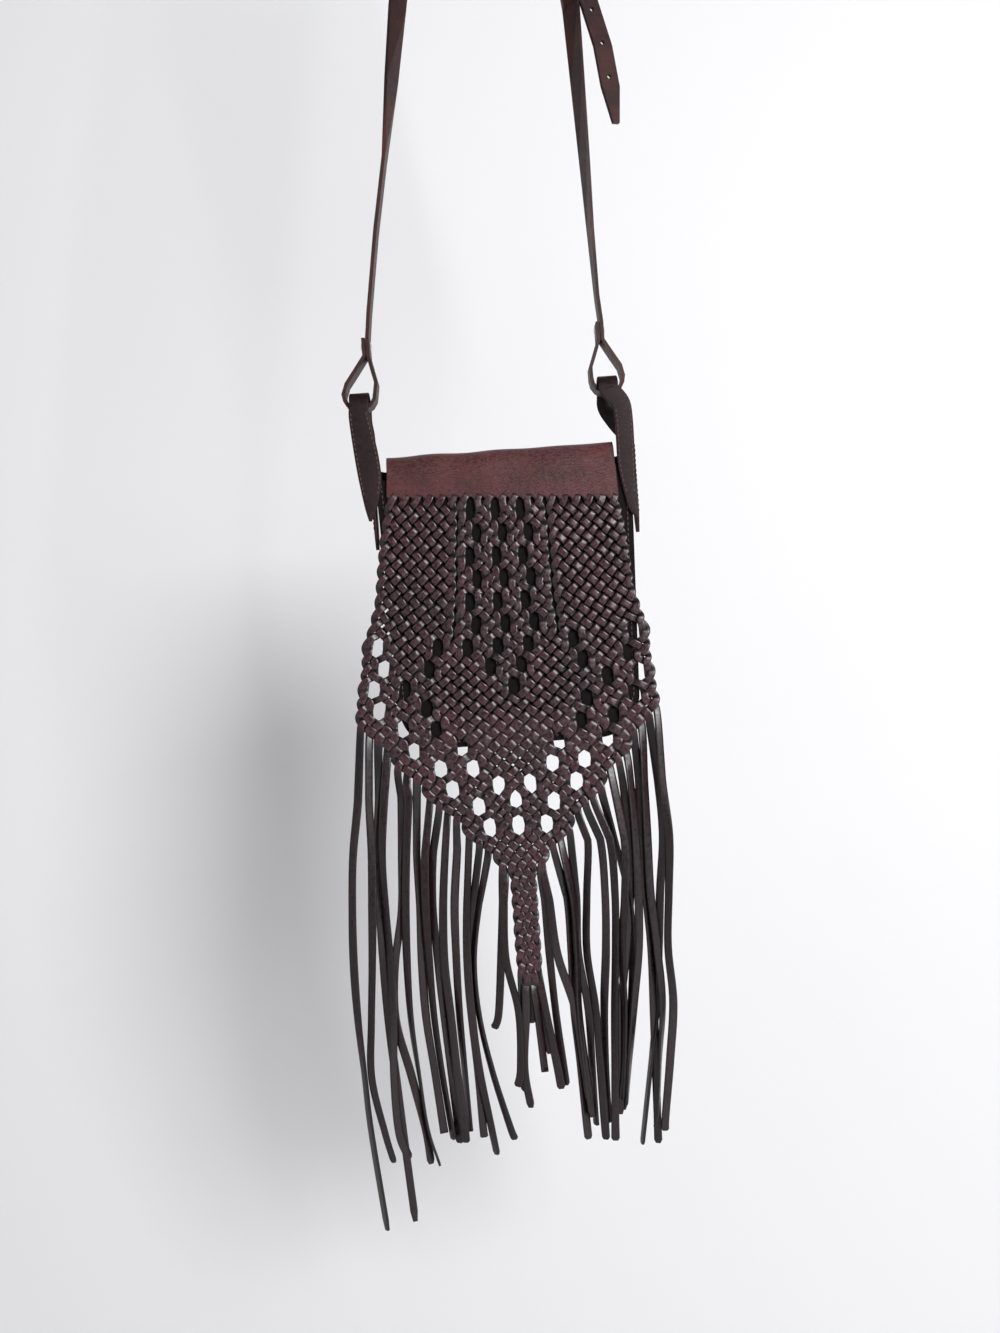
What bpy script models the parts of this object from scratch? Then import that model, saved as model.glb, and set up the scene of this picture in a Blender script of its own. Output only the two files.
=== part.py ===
"""Small cross-body bag of dark leather: a pouch under a flap whose lower part is slit and braided.

The flap is one sheet. Its top is plain, and below that it is slit into 38 strips, braided on the
bias into a wall with openings, which ends in a fringe and a pendant braid. The bag hangs by two
tabs from the riveted eyes of a strap with a buckle. Metres, +Z up, the front faces -Y, and the
origin is where the strap rests on whatever holds it up.
"""

import math
import random

import bmesh
import bpy
import numpy as np
from mathutils import Matrix, Vector

MM = 0.001

# Where the bag hangs under the strap's highest point
BAG_X = -0.020
BAG_TOP = -0.620
GAP = 0.00035

# Flap sheet and its lattice of strips
LEATHER = 0.0020
RIDGE = 0.0009
LANES = 38
SLITS = (11, 25)
SLIT_GAP = 0.0009
TOP_ROW = -19
LAST_ROW = 34
PENDANT_ROW = 49
PENDANT_SITES = (16, 20)
BAND_LEFT = 0.022
BAND_RIGHT = 0.033
MERGE_DEPTH = 0.126
MERGE_SAG = 0.005
ROW_PITCH = 0.00495
PENDANT_PITCH = 0.0053
EXIT_FIRST = 12.1
EXIT_PER_LANE = 1.58
# Depth below the flap's top, and the spacing of the strips there
LANE_PITCH = ((0.000, 4.25 * MM), (0.022, 4.35 * MM), (0.060, 4.72 * MM), (0.100, 4.95 * MM),
              (0.130, 5.42 * MM), (0.160, 5.60 * MM), (0.186, 5.85 * MM), (0.219, 5.80 * MM),
              (0.253, 5.40 * MM), (0.270, 5.05 * MM), (0.284, 4.35 * MM), (0.297, 3.30 * MM),
              (0.305, 2.90 * MM), (0.390, 2.80 * MM))
# Depth below the flap's top, and the sideways drift of its centre line there
CENTRE_LINE = ((0.0, 1.3 * MM), (0.11, -2.5 * MM), (0.175, -6.0 * MM), (0.30, -3.0 * MM))
HOLE_GROUP_ROWS = 3
HOLE_SWELL = 0.0013
HOLE_REACH = 0.0085
# Depth below the flap's top, and the front-to-back place of the flap's sheet there
FLAP_SECTION = ((-0.0060, 0.0000), (0.000, -0.0060), (0.006, -0.0090), (0.014, -0.0098),
                (0.300, -0.0102), (0.560, -0.0080))
# The band's turn over the pouch's mouth: how high it rises, and how far back it reaches
BAND_RISE = 0.0058
BAND_BACK = 0.0140
BAND_LEVELS = (0.011, 0.004)
BAND_NARROW = 0.985

# Fringe
FRINGE_DEPTH = 0.497
FRINGE_SPREAD = 0.014
FRINGE_WIDTH = 0.0054
# Neighbouring strips hang in two layers, each a little thinner than the sheet
LAYER = 0.0015
SKIM = 0.0001
FIRST_DROP = 0.006
FRINGE_LEAN = -0.006
FRINGE_STEPS = 5
FRINGE_PITCH = 0.00585
FRINGE_SWAY = 0.0022
TAIL_DEPTH = 0.440
TAIL_PITCH = 0.0042
PENDANT_LANES = (16, 21)
LONGEST_LANES = (0, 4)
LONGEST_EXTRA = 0.055

# Pouch
POUCH_X = 0.003
POUCH_HALF_TOP = 0.093
POUCH_HALF_BOTTOM = 0.086
POUCH_TOP = 0.003
POUCH_BOTTOM = 0.207
POUCH_CORNER = 0.030
POUCH_FRONT = -0.0080
POUCH_BACK_TOP = 0.0080
POUCH_BACK_BOTTOM = 0.0200
PANEL = 0.0018
MOUTH_DROP = 0.008

# Hinge lines: the tabs in the strap's eyes, and the flap's seam at the back
SWING_Y = -0.0043
FOLD_Y = 0.0075
FOLD_UP = 0.0025

# Strap, tabs and eyes
STRAP_WIDTH = 0.015
STRAP = 0.0026
PEG_RADIUS = 0.014
EYE_LEFT_X = -0.097
EYE_RIGHT_X = 0.083
EYE_DEPTH = -0.053
EYE_RADIUS = 0.0115
EYE_NECK = 0.027
EYE_LEFT_SHIFT = 0.0070
EYE_RIGHT_SHIFT = -0.0030
EYE_END = 0.040
RIVET_UP = 0.035
TAB_WIDTH = 0.014
TAB_FOOT_WIDTH = 0.013
TAB_POINT = 0.003
TAB = 0.0024
TAB_INNER = 0.0094
# How far the front leg's foot stands inside the pouch's edge, and how it leads up to the eye: depth
# above the foot's end, and the share of the way across to the eye
TAB_LEFT_INSET = -0.0015
TAB_RIGHT_INSET = 0.0034
TAB_FRONT_END = 0.011
TAB_FRONT_LEAD = ((0.000, 0.0), (0.023, 0.0), (0.041, 0.0), (0.048, 0.45))
# Depths of the back leg below the fold: straight past the eye, turned to the gusset, then its point
TAB_BACK_LEG = (-0.034, -0.024, -0.014, -0.004, 0.012, 0.030, 0.047)
TAB_TIP = 0.060
RIVET_SHANK = 0.0014
RIVET_HEAD = 0.0034
RIVET_CAP = 0.0009

# Buckle, keeper and tail, measured from the buckle's bar
BUCKLE_AT = (0.044, -0.205)
BUCKLE_LEAN = math.radians(8.0)
BUCKLE_TURN = math.radians(65.0)
BUCKLE_HALF = 0.0105
BUCKLE_LENGTH = 0.019
WIRE = 0.0015
PRONG = 0.0011
PRONG_SLOT = 0.006
FOLD_END = -0.028
KEEPER_DROP = 0.042
KEEPER_WIDTH = 0.008
KEEPER = 0.0020
HOLE_PITCH = 0.025
PUNCH = 0.0018
TAIL_HOLES = 5
TAIL_LENGTH = 0.182
# Distance below the buckle's bar, and how far the tail stands off the strap and drifts sideways there
TAIL_LIFT = ((0.048, 0.0047), (0.062, 0.0055), (0.090, 0.0085), (0.125, 0.0095), (0.155, 0.0090))
TAIL_DRIFT = ((0.048, 0.0), (0.062, 0.002), (0.090, 0.009), (0.125, 0.0125), (0.155, 0.012))


def clear_scene():
    """Take every object out of the file."""
    for item in list(bpy.data.objects):
        bpy.data.objects.remove(item, do_unlink=True)


def material(name, colour, roughness, metallic=0.0):
    """A plain finish for one kind of piece."""
    made = bpy.data.materials.new(name)
    made.use_nodes = True
    shader = made.node_tree.nodes["Principled BSDF"]
    shader.inputs["Base Color"].default_value = (*colour, 1.0)
    shader.inputs["Roughness"].default_value = roughness
    shader.inputs["Metallic"].default_value = metallic
    return made


def table(pairs, depth):
    """Read a (depth, value) table at one or many depths, in straight pieces."""
    return np.interp(depth, [p[0] for p in pairs], [p[1] for p in pairs])


def place(x, y, depth):
    """A point of the bag: sideways and down from the middle of the flap's top."""
    return Vector((x + BAG_X, y, BAG_TOP - depth))


def add_object(name, verts, faces, finish):
    """One closed body from its corners and faces, facing outwards."""
    mesh = bpy.data.meshes.new(name)
    shape = bmesh.new()
    made = [shape.verts.new(v) for v in verts]
    for face in faces:
        shape.faces.new([made[i] for i in face])
    loose = [v for v in shape.verts if not v.link_faces]
    bmesh.ops.delete(shape, geom=loose, context="VERTS")
    bmesh.ops.recalc_face_normals(shape, faces=shape.faces)
    shape.to_mesh(mesh)
    shape.free()
    item = bpy.data.objects.new(name, mesh)
    bpy.context.collection.objects.link(item)
    mesh.materials.append(finish)
    return item


def swept_strip(name, points, across, widths, thick, finish, closed=False):
    """A flat strip: at each point a rectangle, wide along `across` and thick at right angles."""
    points = np.array(points, dtype=float)
    ahead, behind = np.roll(points, -1, axis=0), np.roll(points, 1, axis=0)
    run = ahead - behind
    if not closed:
        run[0], run[-1] = points[1] - points[0], points[-1] - points[-2]
    run /= np.linalg.norm(run, axis=1)[:, None]
    across = np.array(across, dtype=float)
    across = across - run * np.sum(across * run, axis=1)[:, None]
    across /= np.linalg.norm(across, axis=1)[:, None]
    normal = np.cross(run, across)
    half_w = (np.zeros(len(points)) + np.array(widths))[:, None] / 2
    half_t = thick / 2
    rings = [points + across * half_w + normal * half_t, points - across * half_w + normal * half_t,
             points - across * half_w - normal * half_t, points + across * half_w - normal * half_t]
    verts = np.stack(rings, axis=1).reshape(-1, 3)
    return add_object(name, [Vector(v) for v in verts], ring_faces(len(points), 4, closed), finish)


def ring_faces(count, sides, closed):
    """Faces between successive rings of corners, with caps where the run is open."""
    faces = []
    for i in range(count if closed else count - 1):
        here, there = i * sides, ((i + 1) % count) * sides
        for k in range(sides):
            n = (k + 1) % sides
            faces.append((here + k, here + n, there + n, there + k))
    if not closed:
        faces.append(tuple(range(sides - 1, -1, -1)))
        faces.append(tuple(range((count - 1) * sides, count * sides)))
    return faces


def swept_wire(name, points, radius, sides, finish, closed=False):
    """A round wire whose route lies in its own flat plane, given by local X, Y points."""
    points = np.array(points, dtype=float)
    run = np.roll(points, -1, axis=0) - np.roll(points, 1, axis=0)
    if not closed:
        run[0], run[-1] = points[1] - points[0], points[-1] - points[-2]
    run /= np.linalg.norm(run, axis=1)[:, None]
    side = np.stack([-run[:, 1], run[:, 0]], axis=1)
    verts = []
    for p, s in zip(points, side):
        for k in range(sides):
            a = 2 * math.pi * k / sides
            flat = p + s * radius * math.cos(a)
            verts.append(Vector((flat[0], flat[1], radius * math.sin(a))))
    return add_object(name, verts, ring_faces(len(points), sides, closed), finish)


def cut(target, cutters):
    """Take each cutter's volume out of a piece, and leave the cutters as hidden guides."""
    for cutter in cutters:
        change = target.modifiers.new("cut_" + cutter.name, "BOOLEAN")
        change.operation = "DIFFERENCE"
        change.object = cutter
        cutter.hide_render = True
        cutter.display_type = "WIRE"


def rod(name, start, end, radius, sides=8):
    """A straight round rod between two points."""
    start, end = Vector(start), Vector(end)
    shape = bmesh.new()
    bmesh.ops.create_cone(shape, cap_ends=True, segments=sides, radius1=radius, radius2=radius,
                          depth=(end - start).length)
    turn = Vector((0, 0, 1)).rotation_difference(end - start).to_matrix().to_4x4()
    bmesh.ops.transform(shape, matrix=Matrix.Translation((start + end) / 2) @ turn, verts=shape.verts)
    mesh = bpy.data.meshes.new(name)
    shape.to_mesh(mesh)
    shape.free()
    item = bpy.data.objects.new(name, mesh)
    bpy.context.collection.objects.link(item)
    return item


class Weave:
    """The lattice of crossings. Site s is where strips s and s+1 cross, on rows of s's own parity."""

    def __init__(self):
        self.holes = self.hole_sites()
        self.cells = {(s, r) for r in range(TOP_ROW + 1, PENDANT_ROW + 1)
                      for s in range(LANES - 1) if (s + r) % 2 == 0 and self.is_woven(s, r)}

    def hole_sites(self):
        """Openings, in groups three rows apart whose sites change parity from group to group."""
        sites = set()
        for row in range(-17, 2, 2 * HOLE_GROUP_ROWS):
            sites |= {(s, row) for s in (13, 17, 21)}
            if row < 0:
                sites |= {(s, row + HOLE_GROUP_ROWS) for s in (14, 18, 22)}
        outer = {0: 1, 1: 2, 2: 1, 3: 2, 4: 5, 5: 6, 6: 9, 7: 10, 8: 13, 9: 14}
        inner = {0: 9, 1: 8, 2: 5, 3: 8, 4: 9, 5: 12, 6: 13, 7: 16}
        for chain in (outer, inner):
            for group, site in chain.items():
                row = 1 + HOLE_GROUP_ROWS * group
                sites |= {(site, row), (LANES - 2 - site, row)}
        sites |= {(16, 4), (20, 4), (19, 7), (18, 24), (18, 28)}
        return sites

    def last_row(self, s):
        """The last row on which site s can cross: the weave ends in a V, and the pendant goes on."""
        mirrored = min(s, LANES - 2 - s)
        if PENDANT_SITES[0] <= s <= PENDANT_SITES[1]:
            return PENDANT_ROW
        return min(EXIT_FIRST + EXIT_PER_LANE * mirrored, LAST_ROW)

    def is_woven(self, s, r):
        if s in SLITS and r < 0:
            return False
        return r <= self.last_row(s) and (s, r) not in self.holes

    def depth(self, s, r):
        """Distance below the flap's top of a lattice point."""
        u = (s - 18.0) / 19.0
        top = BAND_LEFT + (BAND_RIGHT - BAND_LEFT) * (u + 1) / 2
        merge = MERGE_DEPTH + MERGE_SAG * (1 - u * u)
        if r <= 0:
            return top + (merge - top) * (r - TOP_ROW) / (0 - TOP_ROW)
        lower = merge + ROW_PITCH * min(r, LAST_ROW) * (1 - 0.03 * (1 - u * u))
        return lower + max(0, r - LAST_ROW) * PENDANT_PITCH

    def plan(self, s, r):
        """Sideways place and depth of a lattice point before the openings push on it."""
        d = self.depth(s, r)
        return table(CENTRE_LINE, d) + (s - 18.0) * table(LANE_PITCH, d), d

    def spot(self, s, r):
        """The lattice point, pushed away from the openings near it."""
        x, d = self.plan(s, r)
        push = np.zeros(2)
        for hole in self.holes:
            if abs(hole[0] - s) > 3 or abs(hole[1] - r) > 3:
                continue
            away = np.array([x, d]) - np.array(self.plan(*hole))
            far = np.linalg.norm(away)
            if far > 1e-6:
                push += away / far * HOLE_SWELL * math.exp(-(far / HOLE_REACH) ** 2) * 1.6
        return x + push[0], d + push[1]


def flap_y(depth):
    """Front-to-back place of the flap's sheet, from over the pouch's top to the fringe."""
    return table(FLAP_SECTION, depth)


class FlapMesh:
    """Collects the corners and faces of the flap's one closed sheet."""

    def __init__(self, weave):
        self.weave = weave
        self.verts, self.faces, self.known = [], [], {}
        self.edges_used = set()

    def vert(self, x, y, d):
        self.verts.append(place(x, y, d))
        return len(self.verts) - 1

    def corner(self, s, r, side=0):
        """Front and back corner of the sheet at a lattice point; slits have one on each side."""
        split = side if (s in SLITS and TOP_ROW < r < 0) else 0
        key = (s, r, split)
        if key not in self.known:
            x, d = self.weave.spot(s, r)
            x += split * SLIT_GAP / 2
            y = flap_y(d)
            self.known[key] = (self.vert(x, y - LEATHER / 2, d), self.vert(x, y + LEATHER / 2, d))
        return self.known[key]

    def sheet(self, loop):
        """Plain front and back faces over a loop of corners, listed clockwise from the front."""
        self.faces.append([c[0] for c in loop])
        self.faces.append([c[1] for c in reversed(loop)])
        for a, b in zip(loop, loop[1:] + loop[:1]):
            self.edges_used ^= {frozenset((a, b))}

    def cell(self, s, r):
        """One crossing: the strip on top makes a ridge, which leans with the row's direction."""
        left, right = self.corner(s - 1, r, 1), self.corner(s + 1, r, -1)
        top, low = self.corner(s, r - 1), self.corner(s, r + 1)
        loop = [top, right, low, left]
        self.faces.append([c[1] for c in reversed(loop)])
        for a, b in zip(loop, loop[1:] + loop[:1]):
            self.edges_used ^= {frozenset((a, b))}
        if r % 2 == 0:
            ends = ((left, low), (top, right))
        else:
            ends = ((left, top), (low, right))
        mid = sum((Vector(self.verts[c[0]]) for c in loop), Vector()) / 4
        raised = []
        for a, b in ends:
            edge = (self.verts[a[0]] + self.verts[b[0]]) / 2
            tip = edge.lerp(mid, 0.25) + Vector((0, -RIDGE, 0))
            self.verts.append(tip)
            raised.append(len(self.verts) - 1)
        near, far = raised
        (a, b), (c, d) = ends
        self.faces += [[a[0], near, far, c[0]], [b[0], d[0], far, near],
                       [a[0], b[0], near], [c[0], far, d[0]]]

    def border(self, s, r, inner):
        """The half crossing where an edge strip turns back; `inner` is +1 where the sheet is right."""
        a, b = self.corner(s, r - 1, inner), self.corner(s, r + 1, inner)
        c = self.corner(s + inner, r)
        self.sheet([a, c, b] if inner > 0 else [a, b, c])


def wall(mesh, a, b):
    """Close the sheet's edge between two corners."""
    mesh.faces.append([a[0], a[1], b[1], b[0]])


def exit_edges(weave):
    """For each strip, the last crossing it takes part in, and the side it leaves by."""
    found = {}
    for lane in range(LANES):
        rows = [(r, 0) for s, r in weave.cells if s == lane]
        rows += [(r, 1) for s, r in weave.cells if s == lane - 1]
        found[lane] = max(rows)
    return found


def fringe_end(lane, rng):
    """Where one strip ends: its sideways place and depth."""
    pendant = PENDANT_LANES[0] <= lane <= PENDANT_LANES[1]
    start = (lane - (LANES - 1) / 2) * (TAIL_PITCH if pendant else FRINGE_PITCH)
    depth = (TAIL_DEPTH if pendant else FRINGE_DEPTH) + rng.uniform(-1, 1) * FRINGE_SPREAD
    if lane in LONGEST_LANES:
        depth += LONGEST_EXTRA
    return start + FRINGE_LEAN, depth


def add_strip(mesh, a, b, lane, rng):
    """Run one strip of the fringe from the sheet's edge a-b down to its own end."""
    x_end, d_end = fringe_end(lane, rng)
    va, vb = Vector(mesh.verts[a[0]]), Vector(mesh.verts[b[0]])
    x0 = (va.x + vb.x) / 2 - BAG_X
    d0 = BAG_TOP - min(va.z, vb.z)
    layer = (1 if lane % 2 else -1) * LAYER
    half_t = LEATHER / 2 - SKIM
    ring = [a[0], b[0], b[1], a[1]]
    if va.x > vb.x:
        ring = [b[0], a[0], a[1], b[1]]
    sway = rng.uniform(-FRINGE_SWAY, FRINGE_SWAY)
    for k in range(1, FRINGE_STEPS + 1):
        t = k / FRINGE_STEPS
        d = d0 + FIRST_DROP + (d_end - d0 - FIRST_DROP) * t ** 1.15
        x = x0 + (x_end - x0) * t + sway * math.sin(math.pi * t * 1.5)
        y = flap_y(d) + layer * min(1, 4 * t)
        half = FRINGE_WIDTH / 2 * (1.0 if t < 1 else 0.55)
        fresh = [mesh.vert(x - half, y - half_t, d), mesh.vert(x + half, y - half_t, d),
                 mesh.vert(x + half, y + half_t, d), mesh.vert(x - half, y + half_t, d)]
        for i in range(4):
            n = (i + 1) % 4
            mesh.faces.append([ring[i], ring[n], fresh[n], fresh[i]])
        ring = fresh
    mesh.faces.append(list(reversed(ring)))


def band_rows():
    """Depth and front-to-back place of the plain band, from the weave up and over to the spine."""
    angles = [math.pi * k / 6 for k in range(1, 6)]
    return [(-BAND_RISE * math.sin(a), -BAND_RISE + BAND_BACK * (1 - math.cos(a)) / 2) for a in angles]


def add_band(mesh):
    """The plain band: a grid from the first row of the weave over the top to the pouch's back."""
    stops = [-1] + [s for s in range(0, LANES - 1, 2)] + [LANES - 1]
    stops = sorted(set(stops) | set(SLITS))
    line = [mesh.corner(s, TOP_ROW) for s in stops]
    profile = [(level, None) for level in BAND_LEVELS] + band_rows()
    for depth, y in profile:
        upper = []
        for s in stops:
            x, _ = mesh.weave.plan(s, TOP_ROW)
            x *= BAND_NARROW if depth < BAND_LEVELS[0] else math.sqrt(BAND_NARROW)
            at_y = flap_y(depth) if y is None else y
            upper.append(band_corner(mesh, x, depth, at_y))
        for i in range(len(stops) - 1):
            mesh.sheet([upper[i], upper[i + 1], line[i + 1], line[i]])
        line = upper


def band_corner(mesh, x, depth, y):
    """Two corners of the band, one on each face, square to the turn of the sheet."""
    lean = 0.0 if depth > 0.002 else min(1.0, (y + 0.0062) / 0.0130 + 0.12)
    angle = lean * math.pi * 0.92
    out = Vector((0, -math.cos(angle), math.sin(angle))) * LEATHER / 2
    mid = place(x, y, depth)
    mesh.verts += [mid + out, mid - out]
    return (len(mesh.verts) - 2, len(mesh.verts) - 1)


def build_flap(finish):
    """The whole flap: band, weave, pendant braid and fringe, as one closed sheet."""
    weave = Weave()
    mesh = FlapMesh(weave)
    rng = random.Random(7)
    for s, r in sorted(weave.cells, key=lambda c: (c[1], c[0])):
        mesh.cell(s, r)
    add_borders(mesh)
    add_band(mesh)
    exits = {}
    for lane, (row, side) in exit_edges(weave).items():
        s = lane - side
        low = mesh.corner(s, row + 1)
        other = mesh.corner(s + 1, row, -1) if side else mesh.corner(s - 1, row, 1)
        pair = (low, other) if side else (other, low)
        exits[frozenset(pair)] = (pair, lane)
    for edge in sorted(mesh.edges_used, key=lambda e: sorted(e)):
        if edge in exits:
            continue
        a, b = tuple(edge)
        wall(mesh, a, b)
    for edge, (pair, lane) in sorted(exits.items(), key=lambda e: e[1][1]):
        add_strip(mesh, pair[0], pair[1], lane, rng)
    return add_object("woven_flap", mesh.verts, mesh.faces, finish)


def add_borders(mesh):
    """Edge strips turning back at the sides, along the slits and down the pendant."""
    for r in range(TOP_ROW + 2, int(EXIT_FIRST), 2):
        mesh.border(-1, r, 1)
        mesh.border(LANES - 1, r, -1)
    for s in SLITS:
        for r in range(TOP_ROW + 2, 0, 2):
            mesh.border(s, r, 1)
            mesh.border(s, r, -1)
    for r in range(LAST_ROW + 3, PENDANT_ROW, 2):
        mesh.border(PENDANT_SITES[0] - 1, r, 1)
        mesh.border(PENDANT_SITES[1] + 1, r, -1)
    first = TOP_ROW + 1
    for s in range(1, LANES - 1, 2):
        left, right, low = mesh.corner(s - 1, TOP_ROW), mesh.corner(s + 1, TOP_ROW), mesh.corner(s, first)
        if s in SLITS:
            mid = mesh.corner(s, TOP_ROW)
            mesh.sheet([left, mid, mesh.corner(s, first, -1)])
            mesh.sheet([mid, right, mesh.corner(s, first, 1)])
        else:
            mesh.sheet([left, right, low])
    mesh.sheet([mesh.corner(-1, TOP_ROW), mesh.corner(0, TOP_ROW), mesh.corner(-1, first)])
    last = LANES - 1
    mesh.sheet([mesh.corner(last - 1, TOP_ROW), mesh.corner(last, TOP_ROW), mesh.corner(last, first)])


def pouch_half(depth):
    """Half the pouch's width at a depth: it narrows a little downwards."""
    t = (depth - POUCH_TOP) / (POUCH_BOTTOM - POUCH_TOP)
    return POUCH_HALF_TOP + (POUCH_HALF_BOTTOM - POUCH_HALF_TOP) * t


def pouch_floor(u):
    """Depth of the pouch's bottom edge at a share u of its half width, with round corners."""
    over = max(0.0, abs(u) * POUCH_HALF_BOTTOM - (POUCH_HALF_BOTTOM - POUCH_CORNER))
    return POUCH_BOTTOM - POUCH_CORNER + math.sqrt(max(0.0, POUCH_CORNER ** 2 - over ** 2))


def back_y(depth):
    """Outer face of the back panel, which leans out towards the bottom."""
    t = (depth - POUCH_TOP) / (POUCH_BOTTOM - POUCH_TOP)
    return POUCH_BACK_TOP + (POUCH_BACK_BOTTOM - POUCH_BACK_TOP) * t


def panel(name, top, y_of, inward, finish):
    """A pouch panel: upright columns from the mouth down to the round-cornered bottom edge."""
    columns = np.sin(np.linspace(-1, 1, 15) * math.pi / 2)
    rows = 5
    outer, inner = [], []
    for u in columns:
        for k in range(rows + 1):
            d = top + (pouch_floor(u) - top) * k / rows
            x = POUCH_X + u * pouch_half(d)
            outer.append(place(x, y_of(d), d))
            inner.append(place(x, y_of(d) + inward * PANEL, d))
    count = len(outer)
    faces = []
    high = rows + 1
    for i in range(len(columns) - 1):
        for k in range(rows):
            a, b = i * high + k, (i + 1) * high + k
            faces += [(a, b, b + 1, a + 1), (count + a, count + a + 1, count + b + 1, count + b)]
        for k in (0, rows):
            a, b = i * high + k, (i + 1) * high + k
            faces.append((a, count + a, count + b, b))
    for i in (0, len(columns) - 1):
        for k in range(rows):
            a = i * high + k
            faces.append((a, a + 1, count + a + 1, count + a))
    return add_object(name, outer + inner, faces, finish)


def gusset(finish):
    """The strip round the pouch's sides and bottom, between the two panels."""
    outline = []
    for side in (-1, 1):
        run = []
        for k in range(6):
            d = POUCH_TOP + (POUCH_BOTTOM - POUCH_CORNER - POUCH_TOP) * k / 6
            run.append((side * pouch_half(d), d))
        for k in range(1, 6):
            u = (POUCH_HALF_BOTTOM - POUCH_CORNER * (1 - math.cos(math.pi * k / 12))) / POUCH_HALF_BOTTOM
            d = pouch_floor(u)
            run.append((side * u * pouch_half(d), d))
        outline.append(run)
    flat = [(x, POUCH_BOTTOM) for x in np.linspace(-0.056, 0.056, 7)]
    path = outline[0] + flat + outline[1][::-1]
    path = np.array(path)
    run = np.gradient(path, axis=0)
    run /= np.linalg.norm(run, axis=1)[:, None]
    inward = np.stack([run[:, 1], -run[:, 0]], axis=1)
    verts = []
    for (x, d), (nx, nd) in zip(path, inward):
        front, back = POUCH_FRONT + PANEL + GAP, back_y(d) - PANEL - GAP
        for depth_in in (0.0002, 0.0002 + PANEL):
            for y in (front, back):
                verts.append(place(POUCH_X + x + nx * depth_in, y, d + nd * depth_in))
    order = []
    for i in range(len(path)):
        order += [i * 4, i * 4 + 1, i * 4 + 3, i * 4 + 2]
    return add_object("gusset", [verts[i] for i in order], ring_faces(len(path), 4, False), finish)


def tab(name, side, eye_x, inset, finish):
    """A tab folded through the strap's eye: a short front leg, and a long one turned to the gusset."""
    axis_d = EYE_DEPTH + EYE_RADIUS - STRAP / 2
    reach = TAB_INNER + TAB / 2
    foot_y = POUCH_FRONT - TAB / 2 - GAP
    gusset_x = POUCH_X + side * (POUCH_HALF_TOP + TAB / 2 + 2 * GAP)
    front_x = POUCH_X + side * (POUCH_HALF_TOP - inset)
    route, across, widths = [], [], []
    for rise, share in TAB_FRONT_LEAD:
        t = rise / (TAB_FRONT_END - axis_d)
        x = front_x + (eye_x - front_x) * share
        route.append((x, foot_y - (reach + foot_y) * t, TAB_FRONT_END - rise))
        across.append((1, 0, 0))
        widths.append(TAB_FOOT_WIDTH + (TAB_WIDTH - TAB_FOOT_WIDTH) * t)
    for k in range(8):
        a = math.pi * k / 7
        route.append((eye_x, -reach * math.cos(a), axis_d - reach * math.sin(a)))
        across.append((1, 0, 0))
        widths.append(TAB_WIDTH)
    for k, d in enumerate(TAB_BACK_LEG + (TAB_TIP,)):
        t = min(1.0, k / 3)
        turn = t * math.pi / 2
        route.append((eye_x + (gusset_x - eye_x) * t, reach * (1 - t) ** 0.8, d))
        across.append((math.cos(turn), -side * math.sin(turn), 0))
        widths.append(TAB_POINT if d == TAB_TIP else TAB_WIDTH)
    points = [place(*p) for p in route]
    return swept_strip(name, points, across, widths, TAB, finish)


def eye_route(eye_x, shift):
    """The folded end of a strap: from its tip, round the eye, and up to where the strap goes on."""
    half = STRAP / 2 + GAP / 2
    waist = [(half, EYE_END), (half, EYE_NECK), (EYE_RADIUS * 0.52, EYE_NECK * 0.64),
             (EYE_RADIUS * 0.93, EYE_NECK * 0.28)]
    arc = [(-EYE_RADIUS * math.cos(a), -EYE_RADIUS * math.sin(a)) for a in np.linspace(0, math.pi, 9)]
    route = [(-x, z) for x, z in waist] + arc + waist[::-1]
    return [(eye_x + BAG_X + x + shift * min(1.0, max(0.0, z / EYE_NECK)), BAG_TOP - EYE_DEPTH + z)
            for x, z in route]


def turned(points, turns):
    """Direction of a strap's width at each point: front to back, turned about the strap's run."""
    points = np.array(points, dtype=float)
    run = np.gradient(points, axis=0)
    run /= np.linalg.norm(run, axis=1)[:, None]
    flat = np.cross(run, np.array([0.0, 1.0, 0.0]))
    turns = np.array(turns)[:, None]
    return np.cos(turns) * np.array([0.0, 1.0, 0.0]) + np.sin(turns) * flat


def buckle_frame_matrix():
    """The buckle's own axes: X across the strap, Y up along it, Z out to the front."""
    up = Vector((-math.sin(BUCKLE_LEAN), 0, math.cos(BUCKLE_LEAN)))
    width = Vector(turned([(0, 0, 0), tuple(-up)], [BUCKLE_TURN] * 2)[0])
    out = width.cross(up)
    if out.y > 0:
        width, out = -width, -out
    rows = Matrix((width, up, out)).transposed().to_4x4()
    return Matrix.Translation((BUCKLE_AT[0], 0, BUCKLE_AT[1])) @ rows


def in_buckle(frame, along, out, side=0.0):
    """A point given in the buckle's own axes."""
    return frame @ Vector((side, along, out))


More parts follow.
